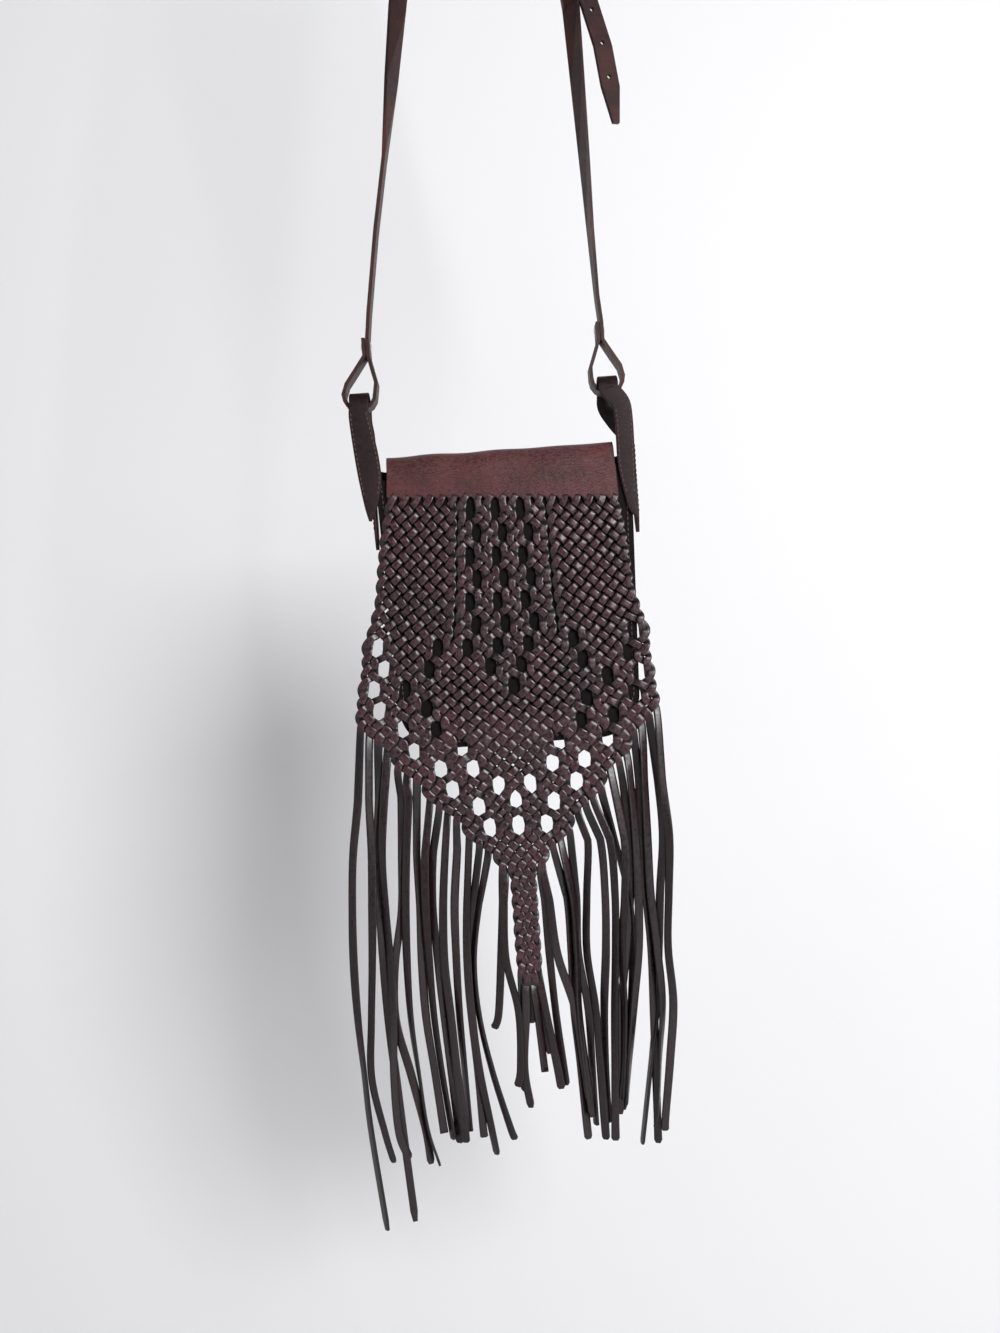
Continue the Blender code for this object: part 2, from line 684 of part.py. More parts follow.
def strap_long(frame, finish):
    """From the left eye over the top, behind the buckle's far side, over its bar, and down as the tail."""
    eye = [(x, 0.0, z) for x, z in eye_route(EYE_LEFT_X, EYE_LEFT_SHIFT)]
    leg = [(-0.1062, 0.0, -0.508), (-0.0973, 0.0, -0.450), (-0.0874, 0.0, -0.3966), (-0.0785, 0.0, -0.340),
           (-0.0704, 0.0, -0.2874), (-0.0560, 0.0, -0.205), (-0.0390, 0.0, -0.120), (-0.0255, 0.0, -0.055)]
    ring = PEG_RADIUS + STRAP / 2
    peg = [(-ring * math.cos(a), 0.0, ring * math.sin(a) - PEG_RADIUS)
           for a in np.radians(np.linspace(-12, 188, 11))]
    down = [(0.0235, 0.0, -0.065), (0.0300, 0.0, -0.115), (0.0352, 0.0, -0.150)]
    over = [(0.034, -0.0034), (0.026, -0.0034), (0.019, -0.0034), (0.0140, -0.0014), (0.0090, 0.0024),
            (0.0050, 0.0052), (0.0, 0.0064), (-0.006, 0.0060), (-0.014, 0.0052), (-0.028, 0.0048),
            (-0.038, 0.0047), (-0.048, 0.0047)]
    through = [tuple(in_buckle(frame, a, o)) for a, o in over]
    hang = [((-0.062, 0.0055, 0.002), (-0.090, 0.0085, 0.009), (-0.125, 0.0095, 0.0125),
             (-0.155, 0.0090, 0.0120), (-TAIL_LENGTH, 0.0085, 0.0105))]
    tail = [tuple(in_buckle(frame, a, o, s)) for a, o, s in hang[0]]
    knots = eye + leg + peg + down + through + tail
    turns = [0.0] * (len(eye) + 1) + [0.0, 0.0, -0.45, -0.75, -0.75, -0.55, -0.2] + [0.0] * len(peg)
    turns += [0.35, 0.75, 1.0] + [BUCKLE_TURN] * (len(through) + len(tail))
    across = turned(knots, turns)
    flat = np.array(in_buckle(frame, 0, 0, 1) - in_buckle(frame, 0, 0))
    across[-len(through) - len(tail):] = flat
    flow = np.sum(across[1:] * across[:-1], axis=1)
    for i in np.nonzero(flow < 0)[0]:
        across[i + 1:] *= -1
    widths = [STRAP_WIDTH] * (len(knots) - 1) + [STRAP_WIDTH * 0.35]
    made = swept_strip("strap_long", knots, across, widths, STRAP, finish)
    lift = 2 * PRONG + WIRE / 2
    holes = [rod("punch_prong", in_buckle(frame, 0.0030, lift), in_buckle(frame, 0.0155, lift),
                 PRONG + 0.0005)]
    for k in range(TAIL_HOLES):
        along = -0.148 + k * HOLE_PITCH
        at = np.array([table(TAIL_LIFT, -along), table(TAIL_DRIFT, -along)])
        holes.append(rod("punch_%d" % k, in_buckle(frame, along, at[0] - 0.004, at[1]),
                         in_buckle(frame, along, at[0] + 0.004, at[1]), PUNCH))
    holes.append(rivet_hole("punch_eye_left", EYE_LEFT_X + EYE_LEFT_SHIFT))
    cut(made, holes)
    return made


def rivet_hole(name, eye_x):
    """The hole for an eye's rivet, through both layers of the strap."""
    at = place(eye_x, 0, EYE_DEPTH - RIVET_UP)
    return rod(name, at - Vector((0.006, 0, 0)), at + Vector((0.006, 0, 0)), RIVET_SHANK + 0.0003)


def strap_short(frame, finish):
    """From the right eye up to the buckle, round its bar, and back down in front as the fold."""
    eye = [(x, 0.0, z) for x, z in eye_route(EYE_RIGHT_X, EYE_RIGHT_SHIFT)]
    leg = [(0.0600, 0.0, -0.508), (0.0588, 0.0, -0.460), (0.0580, 0.0, -0.4045), (0.0570, 0.0, -0.350),
           (0.0560, 0.0, -0.2962)]
    bend = WIRE + 0.0003 + STRAP / 2
    close = STRAP / 2 + GAP / 2
    behind = [(-0.062, -close), (-0.048, -close), (-0.034, -close), (-0.022, -close),
              (-0.012, -close - 0.0004), (-0.005, -bend + 0.0002)]
    round_bar = [(bend * math.sin(a), -bend * math.cos(a)) for a in np.linspace(0, math.pi, 8)]
    front = [(-0.005, bend - 0.0002), (-0.012, close + 0.0004), (-0.020, close), (FOLD_END, close)]
    wrap = [tuple(in_buckle(frame, a, o)) for a, o in behind + round_bar + front]
    knots = eye + leg + wrap
    turns = [0.0] * (len(eye) + 1) + [0.1, 0.3, 0.5, 0.75] + [BUCKLE_TURN] * len(wrap)
    across = turned(knots, turns)
    flat = np.array(in_buckle(frame, 0, 0, 1) - in_buckle(frame, 0, 0))
    across[-len(wrap):] = flat
    flow = np.sum(across[1:] * across[:-1], axis=1)
    for i in np.nonzero(flow < 0)[0]:
        across[i + 1:] *= -1
    made = swept_strip("strap_short", knots, across, STRAP_WIDTH, STRAP, finish)
    corners = [in_buckle(frame, a, o, s) for a in (-PRONG_SLOT, PRONG_SLOT + 0.002)
               for o in (-0.008, 0.008) for s in (-PRONG - 0.0013, PRONG + 0.0013)]
    sides = ((0, 1, 3, 2), (4, 6, 7, 5), (0, 4, 5, 1), (2, 3, 7, 6), (0, 2, 6, 4), (1, 5, 7, 3))
    slot = add_object("prong_slot", corners, sides, finish)
    cut(made, [slot, rivet_hole("punch_eye_right", EYE_RIGHT_X + EYE_RIGHT_SHIFT)])
    return made


def buckle(frame, finish):
    """The wire frame with its bar, and the prong curled round the bar and resting on the far side."""
    r = 0.003
    loop = []
    corners = ((BUCKLE_HALF, 0, -90), (BUCKLE_HALF, BUCKLE_LENGTH, 0),
               (-BUCKLE_HALF, BUCKLE_LENGTH, 90), (-BUCKLE_HALF, 0, 180))
    for x, y, start in corners:
        cx, cy = x - math.copysign(r, x), y + (r if y == 0 else -r)
        angles = np.radians(np.linspace(start, start + 90, 3))
        loop += [(cx + r * math.cos(a), cy + r * math.sin(a)) for a in angles]
    ring = swept_wire("buckle_frame", loop, WIRE, 8, finish, closed=True)
    ring.matrix_world = frame
    curl = WIRE + 0.0003 + PRONG
    route = [(curl * math.cos(a), curl * math.sin(a)) for a in np.radians(np.linspace(8, -270, 12))]
    route += [(0.006, curl), (0.014, curl), (BUCKLE_LENGTH + 0.0022, curl)]
    prong = swept_wire("buckle_prong", route, PRONG, 6, finish)
    prong.matrix_world = frame @ Matrix(((0, 0, 1, 0), (1, 0, 0, 0), (0, 1, 0, 0), (0, 0, 0, 1)))
    return ring, prong


def keeper(frame, finish):
    """The leather loop that holds the tail against the short strap."""
    low = -(STRAP + GAP / 2) - KEEPER / 2 - GAP
    high = 0.0047 + STRAP / 2 + KEEPER / 2 + GAP
    half = STRAP_WIDTH / 2 + KEEPER / 2 + 0.0006
    r = 0.0016
    route = []
    for x, y, start in ((half, low, -90), (half, high, 0), (-half, high, 90), (-half, low, 180)):
        cx, cy = x - math.copysign(r, x), y - math.copysign(r, y)
        route += [in_buckle(frame, -KEEPER_DROP, cy + r * math.sin(a), cx + r * math.cos(a))
                  for a in np.radians(np.linspace(start, start + 90, 3))]
    along = np.array(in_buckle(frame, 1, 0) - in_buckle(frame, 0, 0))
    return swept_strip("keeper_loop", route, [along] * len(route), KEEPER_WIDTH, KEEPER, finish, closed=True)


def rivet(name, eye_x, finish):
    """A two-headed rivet through the folded end of the strap, its axis sideways."""
    half = STRAP + GAP / 2 + 0.0003
    top = half + RIVET_CAP
    brow = half + RIVET_CAP * 0.8
    profile = [(0, top), (RIVET_HEAD * 0.7, brow), (RIVET_HEAD, half), (RIVET_SHANK, half),
               (RIVET_SHANK, -half), (RIVET_HEAD, -half), (RIVET_HEAD * 0.7, -brow), (0, -top)]
    sides = 12
    verts = [Vector((profile[0][1], 0, 0))]
    for radius, along in profile[1:-1]:
        angles = [2 * math.pi * k / sides for k in range(sides)]
        verts += [Vector((along, radius * math.cos(a), radius * math.sin(a))) for a in angles]
    verts.append(Vector((profile[-1][1], 0, 0)))
    faces = []
    for ring in range(len(profile) - 3):
        for k in range(sides):
            a, b = 1 + ring * sides + k, 1 + ring * sides + (k + 1) % sides
            faces.append((a, b, b + sides, a + sides))
    last = len(verts) - 1
    for k in range(sides):
        n = (k + 1) % sides
        faces += [(0, 1 + n, 1 + k), (last, last - sides + k, last - sides + n)]
    made = add_object(name, verts, faces, finish)
    made.location = place(eye_x, 0, EYE_DEPTH - RIVET_UP)
    return made


def axis_empty(name, at):
    """An empty on a hinge's axis, for the pieces that turn about it."""
    pivot = bpy.data.objects.new(name, None)
    pivot.location = at
    bpy.context.collection.objects.link(pivot)
    return pivot


def hang(piece, pivot):
    """Parent a piece to its pivot without moving it."""
    bpy.context.view_layer.update()
    piece.parent = pivot
    piece.matrix_parent_inverse = pivot.matrix_world.inverted()


def main():
    """Build every piece of the bag."""
    clear_scene()
    braided = material("flap_leather", (0.075, 0.032, 0.030), 0.38)
    plain = material("pouch_leather", (0.018, 0.014, 0.014), 0.45)
    folded = material("tab_leather", (0.055, 0.027, 0.025), 0.40)
    belt = material("strap_leather", (0.062, 0.030, 0.028), 0.42)
    nickel = material("buckle_metal", (0.55, 0.53, 0.50), 0.25, 1.0)
    head = material("rivet_metal", (0.55, 0.53, 0.50), 0.30, 1.0)
    frame = buckle_frame_matrix()
    strap_long(frame, belt)
    strap_short(frame, belt)
    buckle(frame, nickel)
    keeper(frame, belt)
    rivet("rivet_left", EYE_LEFT_X + EYE_LEFT_SHIFT, head)
    rivet("rivet_right", EYE_RIGHT_X + EYE_RIGHT_SHIFT, head)
    flap = build_flap(braided)
    pouch = [panel("back_panel", POUCH_TOP, back_y, -1, plain),
             panel("front_panel", POUCH_TOP + MOUTH_DROP, lambda d: POUCH_FRONT, 1, plain),
             gusset(plain),
             tab("tab_left", -1, EYE_LEFT_X, TAB_LEFT_INSET, folded),
             tab("tab_right", 1, EYE_RIGHT_X, TAB_RIGHT_INSET, folded)]
    swing = axis_empty("bag_swing_axis", (0, SWING_Y, BAG_TOP - EYE_DEPTH - EYE_RADIUS + STRAP / 2))
    fold = axis_empty("flap_open_axis", (0, FOLD_Y, BAG_TOP + FOLD_UP))
    hang(fold, swing)
    hang(flap, fold)
    for piece in pouch:
        hang(piece, swing)


main()
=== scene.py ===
"""Looks of a small cross-body bag of dark wine leather.

A pouch under a flap that is slit into laces, braided with openings and left long as a fringe,
hung by two tabs from a riveted strap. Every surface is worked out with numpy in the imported
model's own frame: metres, +Z up, the front faces -Y, the origin inside the strap's top.
"""

from __future__ import annotations

import logging
import math
from dataclasses import dataclass, field
from enum import Enum
from typing import Any, Sequence

import bmesh
import bpy
import numpy as np
from mathutils import Matrix

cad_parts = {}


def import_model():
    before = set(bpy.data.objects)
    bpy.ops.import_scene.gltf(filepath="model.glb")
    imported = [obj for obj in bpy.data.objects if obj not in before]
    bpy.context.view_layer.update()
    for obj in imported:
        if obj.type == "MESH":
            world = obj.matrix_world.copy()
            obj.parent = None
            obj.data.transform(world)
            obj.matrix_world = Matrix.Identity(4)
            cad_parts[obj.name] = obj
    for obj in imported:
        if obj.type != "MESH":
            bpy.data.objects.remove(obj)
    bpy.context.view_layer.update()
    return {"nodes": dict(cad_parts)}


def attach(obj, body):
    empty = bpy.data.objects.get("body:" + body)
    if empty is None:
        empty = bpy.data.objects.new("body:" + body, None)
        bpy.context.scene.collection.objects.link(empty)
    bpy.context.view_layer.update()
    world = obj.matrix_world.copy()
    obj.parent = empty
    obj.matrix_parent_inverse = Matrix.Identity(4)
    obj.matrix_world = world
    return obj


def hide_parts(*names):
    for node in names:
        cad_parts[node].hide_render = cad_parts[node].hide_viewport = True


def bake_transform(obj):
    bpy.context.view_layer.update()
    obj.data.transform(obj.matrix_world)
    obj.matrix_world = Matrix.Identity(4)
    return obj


LOG = logging.getLogger("fringed_bag")
Array = np.ndarray
MM = 0.001
BAG_X = -0.020
BAG_TOP = -0.620
GAP = 0.00035
WAVE_COUNT = 7
SHARP_FROM = math.radians(58)


class Body(Enum):
    """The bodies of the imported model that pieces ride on."""

    STRAP = "strap"
    BAG = "bag"
    FLAP = "flap"


def place(x: Array | float, y: Array | float, depth: Array | float) -> Array:
    """Turn bag coordinates (right, back, down from the flap's top) into the model's frame.

    Args:
        x: Metres to the right of the flap's middle.
        y: Metres to the back.
        depth: Metres below the flap's top.

    Returns:
        Points with a last axis of 3.
    """
    x, y, depth = np.broadcast_arrays(np.asarray(x, float), y, depth)
    return np.stack([x + BAG_X, y, BAG_TOP - depth], axis=-1)


def table(pairs: Sequence[tuple[float, float]], at: Array | float) -> Array:
    """Read a (place, value) table in straight pieces.

    Args:
        pairs: Rising places with their values.
        at: Where to read it.

    Returns:
        The values there.
    """
    return np.interp(at, [p[0] for p in pairs], [p[1] for p in pairs])


def flow(points: Array, per_span: int) -> Array:
    """Carry a smooth curve through points: a uniform Catmull-Rom cubic on every span.

    Args:
        points: Points of any dimension, one a row.
        per_span: Samples in each span.

    Returns:
        The curve's samples, the last point included.
    """
    points = np.asarray(points, float)
    padded = np.vstack([2 * points[0] - points[1], points, 2 * points[-1] - points[-2]])
    t = np.linspace(0, 1, per_span, endpoint=False)[None, :, None]
    a, b, c, d = (padded[i:len(padded) - 3 + i][:, None, :] for i in range(4))
    curve = 0.5 * (2 * b + (c - a) * t + (2 * a - 5 * b + 4 * c - d) * t ** 2
                   + (3 * b - a - 3 * c + d) * t ** 3)
    return np.vstack([curve.reshape(-1, points.shape[1]), points[-1:]])


def unit(vectors: Array) -> Array:
    """Vectors made one long."""
    return vectors / np.maximum(np.linalg.norm(vectors, axis=-1, keepdims=True), 1e-12)


def along(points: Array) -> Array:
    """Length run from the first point to each point of a line."""
    return np.concatenate([[0.0], np.cumsum(np.linalg.norm(np.diff(points, axis=0), axis=1))])


def waves(x: Array, y: Array, seed: int, pitch: float) -> Array:
    """Soft uneven waves: a sum of sines with seeded directions, about `pitch` apart, from -1 to 1.

    Args:
        x: First coordinate.
        y: Second coordinate.
        seed: Chooses the pattern.
        pitch: Metres from crest to crest.

    Returns:
        Heights of the same shape as x.
    """
    rng = np.random.default_rng(seed)
    total = np.zeros(np.broadcast(x, y).shape)
    for _ in range(WAVE_COUNT):
        turn, phase = rng.uniform(0, 2 * math.pi, 2)
        rate = 2 * math.pi / (pitch * rng.uniform(0.6, 1.6))
        total = total + np.sin(rate * (np.cos(turn) * x + np.sin(turn) * y) + phase)
    return total / (0.7 * WAVE_COUNT)


class Value:
    """A number that varies over a surface. Arithmetic on it adds Math nodes."""

    def __init__(self, bench: "Bench", socket: bpy.types.NodeSocket) -> None:
        """Wrap one output socket."""
        self.bench = bench
        self.socket = socket

    def _with(self, operation: str, first: Any, second: Any, clamp: bool = False) -> "Value":
        """Join two numbers by a Math node.

        Args:
            operation: The Math node's operation.
            first: A Value or a number.
            second: A Value or a number.
            clamp: Whether the result is kept from 0 to 1.

        Returns:
            The result as a Value.
        """
        node = self.bench.node("ShaderNodeMath", {"operation": operation, "use_clamp": clamp},
                               {0: first, 1: second})
        return Value(self.bench, node.outputs[0])

    def __add__(self, other: Any) -> "Value":
        """Sum."""
        return self._with("ADD", self, other)

    __radd__ = __add__

    def __sub__(self, other: Any) -> "Value":
        """Difference."""
        return self._with("SUBTRACT", self, other)

    def __rsub__(self, other: Any) -> "Value":
        """Difference from a number."""
        return self._with("SUBTRACT", other, self)

    def __mul__(self, other: Any) -> "Value":
        """Product."""
        return self._with("MULTIPLY", self, other)

    __rmul__ = __mul__

    def clamped(self) -> "Value":
        """The same, kept from 0 to 1."""
        return self._with("ADD", self, 0.0, clamp=True)

    def between(self, low: float, high: float) -> "Value":
        """Rise smoothly from 0 at low to 1 at high.

        Args:
            low: Where the rise starts.
            high: Where it ends.

        Returns:
            A Value from 0 to 1.
        """
        node = self.bench.node("ShaderNodeMapRange", {"interpolation_type": "SMOOTHSTEP"},
                               {"Value": self, "From Min": low, "From Max": high})
        return Value(self.bench, node.outputs[0])


class Bench:
    """The node tree of one finish, and the ways to add to it."""

    def __init__(self, name: str) -> None:
        """Start a material with its surface shader.

        Args:
            name: The material's name.
        """
        self.material = bpy.data.materials.new(name)
        self.material.use_nodes = True
        self.tree = self.material.node_tree
        self.shader = self.tree.nodes["Principled BSDF"]

    def node(self, kind: str, settings: dict[str, Any], sockets: dict[Any, Any]) -> bpy.types.Node:
        """Add any node.

        Args:
            kind: The node's type.
            settings: Its properties, set first.
            sockets: Values or links of its input sockets, by name or place.

        Returns:
            The node.
        """
        made = self.tree.nodes.new(kind)
        for key, value in settings.items():
            setattr(made, key, value)
        for key, value in sockets.items():
            self.feed(made.inputs[key], value)
        return made

    def feed(self, socket: bpy.types.NodeSocket, value: Any) -> None:
        """Link or set one input socket."""
        if isinstance(value, Value):
            self.tree.links.new(value.socket, socket)
        elif isinstance(value, bpy.types.NodeSocket):
            self.tree.links.new(value, socket)
        else:
            socket.default_value = value

    def coordinates(self) -> bpy.types.NodeSocket:
        """The piece's own Object coordinates, in metres."""
        return self.node("ShaderNodeTexCoord", {}, {}).outputs["Object"]

    def mark(self, name: str) -> Value:
        """A number stored at the piece's points."""
        return Value(self, self.node("ShaderNodeAttribute", {"attribute_name": name}, {}).outputs["Fac"])

    def lay(self) -> bpy.types.NodeSocket:
        """Metres along and across the leather, stored at the piece's points."""
        return self.node("ShaderNodeAttribute", {"attribute_name": "lay"}, {}).outputs["Vector"]

    def stretched(self, vector: bpy.types.NodeSocket, scale: Sequence[float]) -> bpy.types.NodeSocket:
        """Coordinates times a scale for each axis."""
        return self.node("ShaderNodeMapping", {}, {"Vector": vector, "Scale": tuple(scale)}).outputs[0]

    def noise(self, vector: bpy.types.NodeSocket, scale: float, detail: float = 3.0,
              roughness: float = 0.5) -> Value:
        """Cloudy noise.

        Args:
            vector: Where it is read.
            scale: Clouds in each metre.
            detail: Octaves.
            roughness: How much the fine octaves count.

        Returns:
            A Value about 0.5.
        """
        made = self.node("ShaderNodeTexNoise", {}, {"Vector": vector, "Scale": scale, "Detail": detail,
                                                    "Roughness": roughness})
        return Value(self, made.outputs["Fac"])

    def cells(self, vector: bpy.types.NodeSocket, scale: float) -> Value:
        """Distance inside pebble-like cells."""
        made = self.node("ShaderNodeTexVoronoi", {}, {"Vector": vector, "Scale": scale})
        return Value(self, made.outputs["Distance"])

    def mix(self, share: Any, first: Any, second: Any) -> bpy.types.NodeSocket:
        """Blend two colours.

        Args:
            share: 0 for the first, 1 for the second.
            first: A colour or a socket.
            second: A colour or a socket.

        Returns:
            The blended colour's socket.
        """
        made = self.node("ShaderNodeMix", {"data_type": "RGBA"}, {0: share, 6: first, 7: second})
        return made.outputs[2]

    def relief(self, height: Value, depth: float, strength: float = 1.0) -> None:
        """Feed a height in shares of `depth` metres to the surface's normal."""
        bump = self.node("ShaderNodeBump", {}, {"Height": height, "Distance": depth, "Strength": strength})
        self.feed(self.shader.inputs["Normal"], bump.outputs[0])


def tone(red: float, green: float, blue: float) -> tuple[float, float, float, float]:
    """A colour written as 0 to 255 screen values, made linear."""
    channels = [c / 255 for c in (red, green, blue)]
    linear = [c / 12.92 if c <= 0.04045 else ((c + 0.055) / 1.055) ** 2.4 for c in channels]
    return (*linear, 1.0)


# Near-black painted shade, laid on laces where they dip away from their crowns, between and under crossings.
HOLLOW_SHADE_TONE = tone(9, 4, 5)


@dataclass(frozen=True)
class Leather:
    """Dyed leather: tone patches, mottling, pores, cut edges, wear with painted highlight on crowns, painted
    shade off lace crowns.
    """

    name: str
    deep: tuple[float, float, float, float]
    warm: tuple[float, float, float, float]
    # Colour of wear on crowns, partly a painted highlight.
    worn_and_sheen_tone: tuple[float, float, float, float]
    edge: tuple[float, float, float, float]
    rough: float = 0.40
    pores: float = 1500.0
    pore_depth: float = 0.00012
    streaks: float = 0.35
    crown_wear_and_sheen: float = 0.5
    shine: float = 0.4
    # How far the piece darkens to painted shade away from its crowns.
    hollow_shade: float = 0.0
    wrinkle: float = 0.0

    def make(self) -> bpy.types.Material:
        """Build the material.

        Returns:
            The finished material.
        """
        bench = Bench(self.name)
        spot = bench.coordinates()
        lay = bench.lay()
        patch = bench.noise(spot, 32.0, 3.0).between(0.38, 0.64)
        mottle = bench.noise(spot, 420.0, 4.0, 0.62)
        streak = bench.noise(bench.stretched(lay, (70.0, 900.0, 40.0)), 1.0, 3.0, 0.6)
        pebble = bench.cells(spot, self.pores)
        crown = bench.mark("crown")
        rim = bench.mark("rim")
        body = bench.mix(patch * 0.75 + mottle.between(0.42, 0.68) * 0.25, self.deep, self.warm)
        # Wear colour on crowns, partly a painted highlight, plus random lengthwise streaks of wear.
        wear_and_sheen = (crown * self.crown_wear_and_sheen * mottle.between(0.35, 0.62) + streak.between(0.56, 0.74)
               * self.streaks * 0.5).clamped()
        body = bench.mix(wear_and_sheen, body, self.worn_and_sheen_tone)
        body = bench.mix((rim * 0.8).clamped(), body, self.edge)
        # Painted shade: darker towards near black where the piece dips away from its crown.
        shade = (1.0 - crown.between(0.45, 0.98)) * self.hollow_shade
        body = bench.mix(shade, body, HOLLOW_SHADE_TONE)
        bench.feed(bench.shader.inputs["Base Color"], body)
        rough = self.rough + mottle.between(0.3, 0.7) * 0.14 - crown * 0.05 + rim * 0.2
        bench.feed(bench.shader.inputs["Roughness"], rough)
        bench.shader.inputs["Specular IOR Level"].default_value = self.shine
        crease = bench.noise(bench.stretched(lay, (1100.0, 190.0, 1.0)), 1.0, 3.0).between(0.36, 0.56)
        height = pebble * 0.6 + mottle * 0.8 + streak * self.streaks + crease * self.wrinkle
        bench.relief(height, self.pore_depth, 0.8)
        return bench.material


@dataclass(frozen=True)
class Metal:
    """Rubbed nickel with faint scratches."""

    name: str
    colour: tuple[float, float, float, float]
    rough: float = 0.26

    def make(self) -> bpy.types.Material:
        """Build the material.

        Returns:
            The finished material.
        """
        bench = Bench(self.name)
        spot = bench.coordinates()
        scratch = bench.noise(bench.stretched(spot, (3000.0, 300.0, 900.0)), 1.0, 4.0, 0.6)
        tarnish = bench.noise(spot, 260.0, 3.0).between(0.5, 0.75)
        dull = tuple(0.62 * c for c in self.colour[:3]) + (1.0,)
        bench.feed(bench.shader.inputs["Base Color"], bench.mix(tarnish * 0.6, self.colour, dull))
        bench.feed(bench.shader.inputs["Roughness"], self.rough + scratch * 0.12 + tarnish * 0.15)
        bench.shader.inputs["Metallic"].default_value = 1.0
        bench.relief(scratch, 0.00004, 0.6)
        return bench.material


@dataclass(frozen=True)
class Thread:
    """Waxed sewing thread with its twist."""

    name: str
    colour: tuple[float, float, float, float]

    def make(self) -> bpy.types.Material:
        """Build the material.

        Returns:
            The finished material.
        """
        bench = Bench(self.name)
        twist = bench.noise(bench.stretched(bench.lay(), (4000.0, 900.0, 1.0)), 1.0, 2.0)
        pale = tuple(min(1.0, 1.7 * c) for c in self.colour[:3]) + (1.0,)
        bench.feed(bench.shader.inputs["Base Color"], bench.mix(twist, self.colour, pale))
        bench.feed(bench.shader.inputs["Roughness"], 0.55 + twist * 0.2)
        bench.relief(twist, 0.0001)
        return bench.material


@dataclass
class Wardrobe:
    """Every finish of the bag, each made once."""

    made: dict[str, bpy.types.Material] = field(default_factory=dict)

    # The laces' near-black edge colour is painted shade on their sides, and their wear colour is partly a
    # painted highlight on the crossings.
    LACE = Leather("lace_leather", tone(24, 5, 9), tone(50, 16, 21), tone(98, 70, 79), tone(14, 4, 6),
                   rough=0.30, pore_depth=0.00005, streaks=0.35, crown_wear_and_sheen=0.28, shine=0.50, hollow_shade=0.97)
    # The band's wear colour is partly a painted highlight along its top fold.
    BAND = Leather("band_leather", tone(54, 21, 23), tone(80, 35, 36), tone(108, 66, 65), tone(40, 18, 19),
                   rough=0.40, pore_depth=0.00022, streaks=0.1, crown_wear_and_sheen=0.45, shine=0.36, wrinkle=1.0)
    POUCH = Leather("pouch_leather", tone(12, 8, 9), tone(20, 14, 15), tone(38, 29, 30), tone(22, 14, 15),
                    rough=0.60, pore_depth=0.00018, streaks=0.1, crown_wear_and_sheen=0.3, shine=0.09)
    TAB = Leather("tab_leather", tone(20, 9, 11), tone(34, 16, 18), tone(70, 48, 47), tone(58, 33, 30),
                  rough=0.46, pore_depth=0.00018, streaks=0.2, crown_wear_and_sheen=0.3, shine=0.22, wrinkle=0.5)
    STRAP = Leather("strap_leather", tone(34, 13, 14), tone(62, 27, 25), tone(92, 54, 47), tone(92, 52, 43),
                    rough=0.44, pores=1150.0, pore_depth=0.00030, streaks=0.2, crown_wear_and_sheen=0.3, shine=0.32)
    NICKEL = Metal("nickel", (0.60, 0.575, 0.54, 1.0))
    THREAD = Thread("waxed_thread", tone(70, 48, 44))

    def get(self, finish: Leather | Metal | Thread) -> bpy.types.Material:
        """The material of a finish, made at its first use."""
        if finish.name not in self.made:
            self.made[finish.name] = finish.make()
        return self.made[finish.name]


